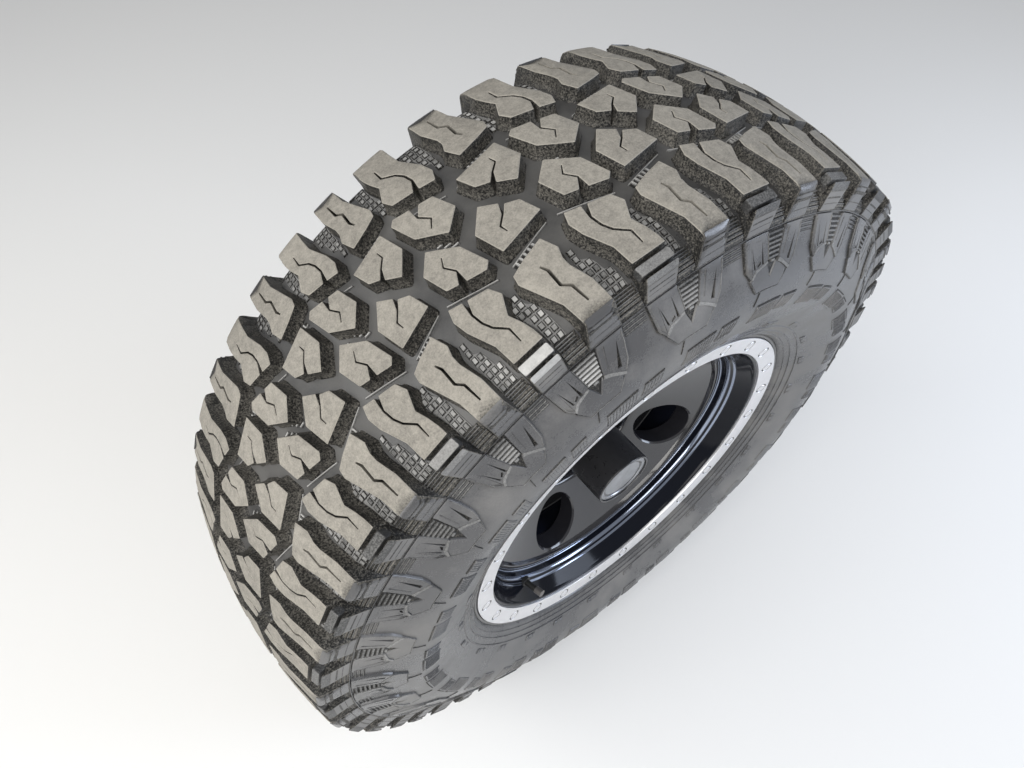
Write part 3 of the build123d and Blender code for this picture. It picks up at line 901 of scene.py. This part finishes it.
# %% Groove ribs
groove_ribs = [
    crease([(40.6, 78.2), (53.4, 36.4)], 1.7, 1.8, 0.68, 0.3),
    crease([(40.4, -14.0), (53.2, 24.0)], 1.5, 1.6, 0.66, 0.3),
]
for u, v in ((-5.5, 44.5), (-0.9, 41.0), (3.7, 37.5)):
    groove_ribs.append(bar(u, u + 1.6, v, v + 6.0, 2.0, dust=0.8))
for step in range(5):
    u, v = 47.6 + 1.1 * step, 3.0 + 4.2 * step
    groove_ribs.append(bar(u, u + 5.0, v, v + 1.7, 1.8, dust=0.75, lean=-1.2))
    dark.append(bar(u, u + 5.4, v + 1.9, v + 3.9, 0.6, 0.2, lean=-1.2))
lay_out(groove_ribs, "groove_ribs", scuffed_and_highlit_rubber)
# painted highlight: these squares and bars are palest at the front pitch and half as pale further round;
# their other changes of tone are random
lay_out(scuffed_and_highlit, "stone_squares", scuffed_and_highlit_rubber, vary=0.6, rest=0.5)
lay_out(dark, "shoulder_bars", tread_rubber)

# %% [markdown]
# ## Sidewall shields
#
# Below the parting line the upper sidewall has shields, which guard it against rocks: under each
# lug a panel with a wedge-shaped notch, between the panels a comb of bars that taper to a point,
# and a plain plate below. Their shapes alone hardly show on grey rubber. What draws them are dark
# creases, which are plates of painted shade, and pale edges, which are painted highlights, so those
# are pieces of their own.

# %% Panels and combs
notch_plain = np.array([(169.8, 1.7), (194.6, 10.6), (195.6, 6.4)])
notch_stepped = [
    np.array([(169.0, 49.2), (190.6, 47.6), (191.0, 44.8)]),
    np.array([(186.9, 49.4), (190.3, 54.0), (192.0, 53.4), (189.8, 49.0)]),
    np.array([(171.5, 61.8), (192.3, 58.0), (192.9, 55.8)]),
]
panel_plain = [
    (163.0, -5.8), (175, -5.2), (192.4, -2.2), (202.7, 3.8), (193.4, 17.8), (190.3, 22.9), (163.0, 17.7),
]
panel_stepped = [
    (163.0, 42.6), (189.2, 39.0), (192.3, 46.0), (194.0, 54.7), (201.4, 60.3), (193.0, 66.9), (163.0, 70.8),
]
plate_below = [
    (203.8, 5.6), (194.2, 18.2), (192.6, 25.0), (206.5, 32.9), (192.0, 39.0), (196.0, 53.6),
    (203.5, 60.3), (216.7, 51.1), (216.4, 39.8), (217.6, 17.6),
]
shields = [
    low_relief(panel_plain, 2.6, 0.9, [notch_plain], 0.9, 9.0, dust=0.16),
    low_relief(panel_stepped, 2.6, 0.9, notch_stepped, 0.9, 9.0, dust=0.16),
    low_relief(plate_below, 1.7, 0.9, (), 0.9, 9.0, dust=0.16),
]
combs = []
for step, shade in enumerate((0.40, 0.62, 0.88, 0.95, 0.95, 0.85)):
    u = 165.6 + 4.3 * step
    combs.append(bar(u, u + 2.1, 20.6 + 0.65 * step, 40.8 - 0.4 * step, 2.4, dust=shade))
# painted highlight: the comb is palest at the front pitch and a quarter as pale further round
lay_out(combs, "shield_combs", scuffed_and_highlit_rubber, rest=0.24)
lay_out(shields, "sidewall_shields", side_rubber)

# %% Painted shade in the grooves and painted highlights on the lines
under_plain_notch = [(167.0, 0.6), (197.0, 3.6), (195.6, 13.2)]
under_stepped_notches = [(166.5, 47.0), (192.3, 43.0), (193.6, 55.0), (194.5, 60.0), (169.0, 63.5)]
under_comb = [(163.5, 18.0), (191.0, 23.2), (205.5, 32.0), (191.0, 38.8), (163.5, 42.2)]
# painted shade: near-black plates under the notches and the comb, and dark creases, stand in for the shade in
# the grooves
shield_groove_shade = [
    low_relief(under_plain_notch, 0.9, 0.2, corner=0.0),
    low_relief(under_stepped_notches, 0.9, 0.2, corner=0.0, spacing=9.0),
    low_relief(under_comb, 0.45, 0.2, corner=0.0, spacing=9.0),
    crease([(164.0, -5.6), (175, -5.0), (192.4, -2.0), (203.0, 4.2)], 1.0, 1.4),
    crease([(164.0, 71.4), (193.0, 67.6), (202.0, 60.9)], 1.1, 1.4),
    crease([(165.0, 12.2), (189.0, 17.0)], 0.8, 2.72),
    crease([(169.0, 62.8), (194.4, 60.4), (200.5, 60.0)], 0.7, 2.72),
    crease([(218.1, 42.6), (232.4, 47.7)], 1.2, 0.8),
    crease([(234.2, 0.0), (234.6, 39.0)], 1.5, 0.7),
    crease([(234.4, 68.5), (235.0, 93.5)], 1.5, 0.7),
]
plate_edge = [(203.6, 5.0), (210.5, 11.0), (218.2, 17.6), (217.2, 39.8), (217.4, 51.3), (203.6, 61.2)]
stepped_edge = [
    (189.6, 39.4), (192.0, 39.2), (196.2, 53.4), (202.0, 59.6), (199.5, 61.0), (193.6, 55.4), (191.4, 46.2),
]
plain_edge = [(190.4, 22.6), (193.2, 17.8), (202.4, 4.4), (205.2, 5.8), (196.6, 18.6), (193.6, 25.0)]
# painted highlights: pale creases and edges along the shields
shield_edge_highlights = [
    crease([(164.5, 41.7), (189.0, 38.2)], 0.9, 2.9, 0.42),
    crease([(164.5, -4.4), (175, -3.9), (192.2, -0.9), (201.5, 4.6)], 0.9, 2.9, 0.36),
    crease([(164.5, 69.4), (192.5, 65.6), (199.5, 60.4)], 0.8, 2.9, 0.30),
    crease([(165.0, 13.2), (189.0, 18.0)], 0.7, 2.8, 0.30),
    crease([(168.6, 50.6), (168.0, 60.6)], 0.6, 2.8, 0.30),
    crease([(186.0, 50.2), (189.6, 55.6)], 0.6, 2.8, 0.30),
    crease(plate_edge, 0.8, 1.9, 0.30),
    low_relief(stepped_edge, 2.9, 0.3, dust=0.38),
    low_relief(plain_edge, 2.9, 0.3, dust=0.38),
    bar(190.2, 192.4, 29.2, 33.8, 2.6, dust=0.4),
]
for u in (162.6, 166.6, 170.2, 174.2):
    shield_edge_highlights.append(bar(u, u + 0.9, 72.8, 94.4, 0.9, 0.2, 0.32))
    shield_groove_shade.append(bar(u + 1.1, u + 2.0, 72.8, 94.4, 0.5, 0.2))
lay_out(shield_groove_shade, "shield_groove_shade", tread_rubber)
lay_out(shield_edge_highlights, "shield_edge_highlights", scuffed_and_highlit_rubber, rest=0.85)

# %% [markdown]
# ## Ribs and relief down to the bead
#
# A rib marks the parting line of the mould, and three lower ones and a lip ring the bead, where the
# tyre meets the wheel. Between them lie low plates with fine bars, as on many moulded sidewalls.

# %% Parting line and bead ribs
ring_columns = 240


def sidewall_ring(along, width, height, side):
    """A low rib all round the sidewall: four places along the profile, the middle two lifted."""
    at = np.array([along - width, along - 0.3 * width, along + 0.3 * width, along + width])
    lift = np.array([-1.0, height, height, -1.0]) / skin_depth(at)
    top_radius, top_station, floor_radius, floor_station = skin_rows(at)
    radius = floor_radius + (top_radius - floor_radius) * lift
    station = (floor_station + (top_station - floor_station) * lift) * side
    return turned(np.stack([radius, station], 1), ring_columns)


ribs = [
    # along, width, height
    (161.0, 1.0, 1.5), (300.0, 1.6, 1.1), (309.5, 1.4, 1.0), (317.0, 1.2, 0.8),
]
rib_shapes = [sidewall_ring(*rib, side) for rib in ribs for side in (1, -1)]
rib_dust = np.zeros(sum(len(points) for points, faces in rib_shapes))
make_piece("sidewall_ribs", rib_shapes, "wheel", side_rubber, marks={"dust": rib_dust})
lip_corners = [(234.3, 121.6), (238.2, 121.6), (239.2, 126.6), (237.2, 128.6), (234.9, 128.5), (234.2, 127.4)]
bead_lip = turned(rounded(lip_corners, 0.5), ring_columns)
lip_dust = np.full(len(bead_lip[0]), 0.45)
make_piece("bead_lip", [bead_lip], "wheel", side_rubber, marks={"dust": lip_dust})

# %% Bead relief
bead_relief = [
    low_relief([(235.4, 0.5), (235.6, 38.8), (256.2, 42.0), (256.6, 5.0)], 0.9, 0.3),
    low_relief([(235.6, 69.0), (236.0, 93.0), (252.0, 98.0), (254.0, 74.0)], 0.9, 0.3),
    low_relief([(288.0, 12.0), (289.0, 40.0), (296.5, 44.0), (295.5, 14.0)], 0.9, 0.4, corner=1.5),
]
for count, along_0, along_1, first, pitch_step, lean in (
    (9, 237.0, 255.0, 2.5, 4.2, 3.8),
    (5, 237.4, 251.5, 71.0, 4.6, 4.4),
):
    for step in range(count):
        v = first + pitch_step * step
        bead_relief.append(bar(along_0, along_1, v, v + 0.6, 1.3, 0.15, lean=lean, longest=9.5))
lay_out(bead_relief, "bead_relief", side_rubber)

# %% [markdown]
# ## Finishes for the metal
#
# The wheel is gloss black paint, the ring is machined bright, the cap is satin black with a brushed
# plate. One plain colour each would look like plastic, so colour and roughness vary a little by
# noise. Turned metal gets its fine lines from rings of noise about the spin axis.

# %% Metal and paint materials
def finish(name, colour, roughness, metallic, mottle_scale, mottle_amount, bump=0.0, coat=0.0):
    """Colour x (1 - amount to 1 + amount) and roughness x (0.8 to 1.25), both by the same noise."""
    material, tree, shader = shader_nodes(name)
    place = object_place(tree)
    mottle = noise(tree, place, mottle_scale, 6.0, 0.6)
    shade = [c * (1 - mottle_amount) for c in colour] + [1]
    light = [min(c * (1 + mottle_amount), 1.0) for c in colour] + [1]
    rough = remap(tree, mottle, roughness * 0.8, min(roughness * 1.25, 1))
    tree.links.new(mixed(tree, mottle, shade, light), shader.inputs["Base Color"])
    tree.links.new(rough, shader.inputs["Roughness"])
    shader.inputs["Metallic"].default_value = metallic
    shader.inputs["Coat Weight"].default_value = coat
    shader.inputs["Coat Roughness"].default_value = 0.04
    if bump:
        tree.links.new(bumped(tree, mottle, bump, 0.0004), shader.inputs["Normal"])
    return material


finishes = {row[0]: finish(*row) for row in (
    # name, colour, roughness, metallic, mottle scale, mottle amount, bump, coat
    ("barrel_black", (0.005, 0.006, 0.010), 0.10, 0.0, 60.0, 0.35),
    ("gloss_black", (0.016, 0.016, 0.019), 0.16, 0.0, 60.0, 0.35, 0.0, 0.6),
    ("machined", (0.85, 0.85, 0.87), 0.33, 1.0, 140.0, 0.08),
    ("brushed_plate", (0.34, 0.35, 0.37), 0.32, 1.0, 75.0, 0.45, 0.35),
    ("plated_steel", (0.72, 0.72, 0.74), 0.14, 1.0, 300.0, 0.08),
    ("cap_black", (0.020, 0.020, 0.022), 0.28, 0.0, 120.0, 0.25, 0.05, 0.2),
    ("brake_iron", (0.40, 0.395, 0.38), 0.42, 0.5, 45.0, 0.22),
    ("hub_steel", (0.20, 0.19, 0.185), 0.50, 0.8, 70.0, 0.35, 0.3),
    ("shield_steel", (0.10, 0.10, 0.105), 0.55, 0.4, 90.0, 0.25, 0.15),
    ("valve_rubber", (0.018, 0.018, 0.018), 0.45, 0.0, 400.0, 0.3, 0.1),
)}
print(len(finishes), "finishes")


# %% Turning lines
def add_turning_lines(material, scale, strength):
    """Fine rings: noise read at the distance from the spin axis only, used as a bump."""
    tree = material.node_tree
    split = add_node(tree, "ShaderNodeSeparateXYZ", {"Vector": object_place(tree)})
    flat = add_node(tree, "ShaderNodeCombineXYZ", {"X": split.outputs["X"], "Z": split.outputs["Z"]})
    length = add_node(tree, "ShaderNodeVectorMath", {0: flat.outputs["Vector"]}, operation="LENGTH")
    inputs = {"W": length.outputs["Value"], "Scale": scale, "Detail": 3.0}
    lines = add_node(tree, "ShaderNodeTexNoise", inputs, noise_dimensions="1D").outputs["Fac"]
    tree.links.new(bumped(tree, lines, strength, 0.0003), tree.nodes["Principled BSDF"].inputs["Normal"])


add_turning_lines(finishes["machined"], 2600.0, 0.25)
add_turning_lines(finishes["brake_iron"], 1800.0, 0.4)
print("turning lines on the ring and the brake disc")

# %% [markdown]
# ## Paint where the light is caught or lost
#
# Two things in the black paint need a number on the points again. The step in the barrel mirrors the
# light as a thin bright line, so its edge is painted pale and metallic. Inside the windows hardly any
# light comes back, so the walls there lose their coat and their shine.

# %% Pale edge and dull holes
tree = finishes["barrel_black"].node_tree
shader = tree.nodes["Principled BSDF"]
edge = mark(tree, "edge")
edge_tint = mixed(tree, edge, (0.005, 0.006, 0.010, 1), (0.30, 0.34, 0.43, 1))
tree.links.new(edge_tint, shader.inputs["Base Color"])
tree.links.new(edge, shader.inputs["Metallic"])
shader.inputs["Specular IOR Level"].default_value = 0.16

tree = finishes["gloss_black"].node_tree
shader = tree.nodes["Principled BSDF"]
painted_shade = mark(tree, "painted_shade")
for socket, most in (("Coat Weight", 0.6), ("Specular IOR Level", 0.5)):
    tree.links.new(remap(tree, painted_shade, most, 0.02), shader.inputs[socket])
print("edge and deep numbers read by the paint")

# %% [markdown]
# ## Pieces that stay as they are
#
# The studs, the brake disc, the hub and its bearing, the dust shield and the valve are already right
# in the frame. They only get their finish.

# %% Finishes on the frame's pieces
frame_finishes = {
    "wheel_studs": "plated_steel", "brake_disc": "brake_iron", "hub": "hub_steel",
    "bearing_lock_ring": "hub_steel", "bearing_housing": "hub_steel", "dust_shield": "shield_steel",
    "valve_cap": "hub_steel", "valve_stem": "valve_rubber",
}
for node, name in frame_finishes.items():
    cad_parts[node].data.materials.clear()
    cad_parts[node].data.materials.append(finishes[name])
print(len(frame_finishes), "pieces of the frame have their finish")

# %% [markdown]
# ## Barrel
#
# A wheel barrel is rolled or spun, so it is one profile carried round the axis. A Bevel modifier
# could soften it afterwards, but the profile's corners each have their own round, so they are
# rounded first: it is those small rounds that catch the light as thin bright lines.

# %% Barrel
barrel_columns = 220
barrel_corners = np.array([
    # radius, station, corner round
    (207.0, 123.3, 1.5), (233.3, 123.3, 1.5), (235.8, 120.8, 1.0), (235.8, 116.8, 1.0), (233.3, 114.3, 1.5),
    (218.3, 114.3, 4.0), (218.3, 91.3, 2.0), (216.8, 83.3, 3.0), (192.0, 64.0, 6.0), (192.0, 20.0, 6.0),
    (212.3, 2.0, 6.0), (212.3, -83.3, 2.0), (218.3, -91.3, 2.0), (218.3, -114.3, 4.0),
    (233.3, -114.3, 1.5), (235.8, -116.8, 1.0), (235.8, -123.3, 2.0), (226.8, -123.3, 2.0),
    (211.3, -110.3, 5.0), (205.3, -98.3, 4.0), (205.3, -2.0, 8.0), (178.0, 22.0, 6.0), (178.0, 54.0, 1.0),
    (184.0, 54.5, 1.0), (184.0, 86.0, 0.8), (188.0, 86.0, 2.0), (189.0, 97.0, 3.0), (195.0, 102.0, 2.0),
    (205.5, 119.5, 2.5),
])
step_corners = (24, 25, 26, 27)
barrel_profile = rounded(barrel_corners[:, :2], barrel_corners[:, 2], 5)
# painted highlight: the rounds of the step's corners carry the edge number, which the paint turns pale,
# bluish and metallic
pale = np.outer(np.isin(np.arange(len(barrel_corners)), step_corners), (0, 1, 1, 1, 0)).ravel()
barrel = make_piece(
    "barrel", [turned(barrel_profile, barrel_columns)], "wheel", finishes["barrel_black"],
    30.0, {"edge": np.repeat(pale, barrel_columns)})
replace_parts(barrel, "rim_barrel")

# %% [markdown]
# ## Plates with round holes
#
# The wheel's centre and the bright ring are both turned plates with a circle of round holes. Boolean
# cuts would make the holes, and leave long thin faces that shade badly in gloss paint. So a plate is
# cut into equal sectors with one hole each. In a sector every point lies on a straight way from the
# hole's edge to the sector's edge, so two numbers are enough again: the way, and how far along it.

# %% Pierced plate maker
def sector_edge(inner, outer, count, arc_steps, side_steps):
    """Once round a sector: along its inner arc, out along one side, back along the outer arc, and in."""
    half = 180.0 / count
    across = np.linspace(-half, half, arc_steps)
    out = np.linspace(inner, outer, side_steps)
    inner_arc, outer_arc = np.full(arc_steps - 1, inner), np.full(arc_steps - 1, outer)
    radius = np.concatenate([inner_arc, out[:-1], outer_arc, out[::-1][:-1]])
    far_side, near_side = np.full(side_steps - 1, half), np.full(side_steps - 1, -half)
    angle = np.radians(np.concatenate([across[:-1], far_side, across[::-1][:-1], near_side]))
    return np.stack([radius * np.cos(angle), radius * np.sin(angle)], 1), across


def pierced_plate(inner, outer, count, first, hole_circle, hole, rows, edges, arc_steps, side_steps):
    """Point = w + (b - w) t, with w on the hole's edge and b on the sector's edge in the same direction.

    rows are (t, growth of the hole, station function). The two edges, inner and outer, are lists of
    (radius, station) that close the plate between its back and its front.
    """
    border, across = sector_edge(inner, outer, count, arc_steps, side_steps)
    way = border - (hole_circle, 0.0)
    way /= np.linalg.norm(way, axis=1, keepdims=True)
    sheets = []
    for t, growth, station_at in rows:
        start = (hole_circle, 0.0) + way * (hole + growth)
        flat = start + (border - start) * t
        r = np.hypot(flat[:, 0], flat[:, 1])
        sheets.append(np.stack([r, station_at(r), np.degrees(np.arctan2(flat[:, 1], flat[:, 0]))], 1))
    grids = [(np.array(sheets), grid_faces(len(rows), len(border), False, True))]
    for profile, columns in zip(edges, (across, across[::-1])):
        profile = np.array(profile)
        grid = np.empty((len(profile), arc_steps, 3))
        grid[..., :2] = profile[:, None]
        grid[..., 2] = columns
        grids.append((grid, grid_faces(len(profile), arc_steps, False, False)))
    turn = (first + 360.0 * np.arange(count) / count)[:, None]
    points, faces, start = [], [], 0
    for grid, squares in grids:
        flat = grid.reshape(-1, 3)
        points.append(wheel_points(flat[:, 0], flat[:, 1], flat[:, 2] + turn).reshape(-1, 3))
        faces.append((squares + (start + np.arange(count) * len(flat))[:, None, None]).reshape(-1, 4))
        start += count * len(flat)
    points, index = np.unique(np.concatenate(points).round(7), axis=0, return_inverse=True)
    return points, index.reshape(-1)[np.concatenate(faces)]


print("a sector's edge has", len(sector_edge(94.0, 177.7, 4, 41, 15)[0]), "points")

# %% [markdown]
# ## Wheel centre
#
# The wheel's centre is a cast cone with four round windows and a pocket in the middle for the nuts.
# The rows run from the front, over the round at the window's edge, through the window to the back.

# %% Wheel centre
disc_inner, disc_outer = 94.0, 177.7
window_count, window_first, window_circle, window_radius = 4, -115.2, 141.0, 35.5
window_round, disc_thickness = 2.4, 28.0


def cone_front(radius):
    """The wheel centre's front: 38.7 mm at radius 100, then 0.53 mm out per mm of radius."""
    return 38.7 + 0.53 * (radius - 100.0)


def below_cone(drop):
    """A function that gives the station at a drop behind the front."""
    return lambda radius: cone_front(radius) - drop


bend = np.radians([90, 67, 45, 22, 0])
disc_rows = [(t, window_round, below_cone(0.0)) for t in (1.0, 0.75, 0.5, 0.3, 0.15, 0.06)]
disc_rows += [(0.0, window_round * np.sin(a), below_cone(window_round * (1 - np.sin(a)))) for a in bend]
disc_rows += [(0.0, 0.0, below_cone(drop)) for drop in (10.0, 18.0, 25.0)]
disc_rows += [(t, 2.5, below_cone(disc_thickness)) for t in (0.0, 0.3, 1.0)]
pocket_edge = [
    (94.0, cone_front(94.0)), (92.6, 33.6), (92.0, 30.0), (90.2, 10.0), (89.0, 7.2), (86.0, 6.3), (36.0, 6.3),
    (36.0, -12.7), (80.0, -12.7), (94.0, cone_front(94.0) - disc_thickness),
]
rim_edge = [
    (177.7, cone_front(177.7) - disc_thickness), (177.7, 55.0), (183.2, 55.0), (183.7, 55.5), (183.7, 85.2),
    (183.0, 86.0), (180.2, 86.0), (179.0, 85.0), (178.2, 81.2), (177.7, cone_front(177.7)),
]
disc_shape = pierced_plate(
    disc_inner, disc_outer, window_count, window_first, window_circle, window_radius, disc_rows,
    (pocket_edge[::-1], rim_edge[::-1]), 41, 15)
window_turn = np.radians(window_first + 90.0 * np.arange(window_count))
from_window = np.hypot(
    disc_shape[0][:, :1] * 1000 - window_circle * np.cos(window_turn),
    disc_shape[0][:, 2:] * 1000 - window_circle * np.sin(window_turn)).min(1)
# painted shade: the window walls are marked so that the paint loses its coat and shine there
in_window = (from_window < window_radius + 0.4) * 1.0
disc = make_piece(
    "wheel_centre", [disc_shape], "wheel", finishes["gloss_black"], 32.0, {"painted_shade": in_window})
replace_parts(disc, "wheel_disc")

# %% [markdown]
# ## Machined ring
#
# The ring has twenty-four bolt covers that sit flush in it, so each shows only as a thin dark circle.
# The ring is a pierced plate, each cover is a small turned disc smaller than its hole, and a flat
# dark ring, painted shade, fills the gap between them.

# %% Ring
bolt_count, first_bolt, bolt_circle, bolt_hole = 24, 5.0, 222.0, 7.8
ring_back = 123.35


def ring_front(radius):
    """From station 126.5 at the inner edge to 129.7 at the outer edge."""
    return 126.5 + 3.2 * (radius - 210.0) / 23.5


def below_ring(drop):
    """A function that gives the station at a drop behind the ring's front."""
    return lambda radius: ring_front(radius) - drop


def flat_at(station):
    """A function that gives one station at every radius."""
    return lambda radius: station + 0 * radius


ring_rows = [
    # share of the way out, growth of the hole, station
    (1.0, 0.3, below_ring(0.0)), (0.4, 0.3, below_ring(0.0)), (0.0, 0.3, below_ring(0.0)),
    (0.0, 0.0, below_ring(0.35)), (0.0, 0.0, below_ring(2.4)), (0.0, -2.0, below_ring(2.6)),
    (0.0, -7.6, below_ring(2.6)), (0.0, -7.6, flat_at(123.4)), (0.5, 0.0, flat_at(ring_back)),
    (1.0, 0.0, flat_at(ring_back)),
]
ring_inner, ring_outer = 210.6, 232.9
inner_lip = [
    (ring_inner, ring_front(ring_inner)), (210.15, 126.3), (210.0, 125.9), (210.0, ring_back),
    (ring_inner, ring_back),
]
outer_lip = [
    (ring_outer, ring_front(ring_outer)), (233.35, 129.4), (233.5, 128.9), (233.5, ring_back),
    (ring_outer, ring_back),
]
ring_shape = pierced_plate(
    ring_inner, ring_outer, bolt_count, first_bolt, bolt_circle, bolt_hole, ring_rows,
    (inner_lip, outer_lip), 9, 5)
ring = make_piece("machined_ring", [ring_shape], "wheel", finishes["machined"], 30.0)
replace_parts(ring, "trim_ring")


# %% Bolt covers
def small_disc(profile, angle, columns=28):
    """A profile of (radius, drop) round a point on the bolt circle, its front following the ring's cone."""
    profile = np.array(profile)
    turn = np.radians(np.arange(columns) * 360.0 / columns)
    x = bolt_circle + profile[:, :1] * np.cos(turn)
    y = profile[:, :1] * np.sin(turn)
    r = np.hypot(x, y)
    points = wheel_points(r, ring_front(r) - profile[:, 1:], np.degrees(np.arctan2(y, x)) + angle)
    return points.reshape(-1, 3), grid_faces(len(profile), columns)


cover = [(0.01, 0.0), (3.5, 0.0), (5.7, 0.0), (6.0, 0.35), (6.0, 2.5), (0.01, 2.5)]
# painted shade: a flat near-black ring down in the gap round each cover
gap = [(6.1, 0.45), (7.75, 0.45), (7.75, 1.4), (6.1, 1.4)]
for name, profile, slot, finish_name in (
    ("ring_bolt_covers", cover, "machined", "machined"),
    ("ring_gap_shade", gap, "cap_black", "valve_rubber"),
):
    discs = [small_disc(profile, first_bolt + 15.0 * k) for k in range(bolt_count)]
    make_piece(name, discs, "wheel", finishes[finish_name], 30.0)

# %% [markdown]
# ## Centre cap
#
# The tall cap covers the hub. It is a black tube, turned in one profile, with a bare plate of brushed
# metal set a little below its rim. A shallow groove round the plate is a third turned piece: a black
# ring that paints the shade in the groove.

# %% Cap
cap_columns = 96
almost_none = 0.0001
cap_corners = np.array([
    # radius, station, corner round
    (36.3, 6.4, 0.3), (39.0, 6.4, 0.3), (39.0, 111.0, 0.8), (38.2, 112.0, 0.5), (36.6, 112.0, 0.5),
    (36.2, 110.6, 0.4), (36.0, 106.0, 0.3), (0.02, 106.0, almost_none), (0.02, 103.0, almost_none),
    (36.0, 103.0, 0.4),
])
plate_corners = np.array([
    # radius, station, corner round
    (0.02, 109.0, almost_none), (27.5, 109.0, 0.5), (28.4, 108.4, 0.4), (30.0, 108.4, 0.4),
    (31.0, 110.2, 0.5), (35.4, 110.2, 0.3), (35.7, 109.8, 0.3), (35.7, 106.1, 0.3),
    (0.02, 106.1, almost_none),
])
for name, corners, slot, finish_name, node in (
    ("cap_tube", cap_corners, "cap_black", "cap_black", "centre_cap"),
    ("cap_plate", plate_corners, "cap_silver", "brushed_plate", "cap_face"),
):
    shape = turned(rounded(corners[:, :2], corners[:, 2], 4), cap_columns)
    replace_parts(make_piece(name, [shape], "wheel", finishes[finish_name], 30.0), node)
# painted shade: a black ring set in the groove round the plate
cap_groove_shade = turned([(27.9, 108.2), (30.7, 108.2), (30.7, 109.0), (27.9, 109.0)], cap_columns)
make_piece("cap_groove_shade", [cap_groove_shade], "wheel", finishes["cap_black"], 30.0)

# %% [markdown]
# ## Lug nuts
#
# A nut is a hexagon with a domed end and a round washer below, and five of them stand in the pocket
# round the cap. Six flat sides cut by a cone could be made with Boolean cuts. It is simpler to write
# down the distance from the axis: a / cos(angle to the nearest flat), or the round limit if less.

# %% Nuts
stud_circle_radius = 63.5
nut_rows = np.array([
    # station, distance to a flat, round limit
    (6.31, 0.0, 13.4), (6.31, 13.4, 13.4), (9.6, 13.4, 13.4), (10.3, 12.2, 12.2), (10.6, 10.5, 12.4),
    (34.0, 10.5, 12.4), (35.6, 10.5, 11.6), (36.8, 10.5, 10.4), (38.8, 8.4, 8.4), (39.9, 6.0, 6.0),
    (40.3, 0.0, 0.01),
])


def nut_shape(angle, columns=72):
    """At each row the radius is the smaller of the hexagon and the round limit."""
    station, flat, limit = nut_rows[:, :1], nut_rows[:, 1:2], nut_rows[:, 2:]
    turn = np.arange(columns) * 360.0 / columns
    nearest = np.radians((turn + 30) % 60 - 30)
    radius = np.maximum(np.minimum(flat / np.cos(nearest)[None, :], limit), 0.01)
    x = stud_circle_radius + radius * np.cos(np.radians(turn))
    y = radius * np.sin(np.radians(turn))
    points = wheel_points(np.hypot(x, y), station, np.degrees(np.arctan2(y, x)) + angle)
    return points.reshape(-1, 3), grid_faces(len(nut_rows), columns)


nut_shapes = [nut_shape(90.0 + 72.0 * k) for k in range(5)]
nuts = make_piece("capped_nuts", nut_shapes, "wheel", finishes["plated_steel"], 25.0)
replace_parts(nuts, "lug_nuts")
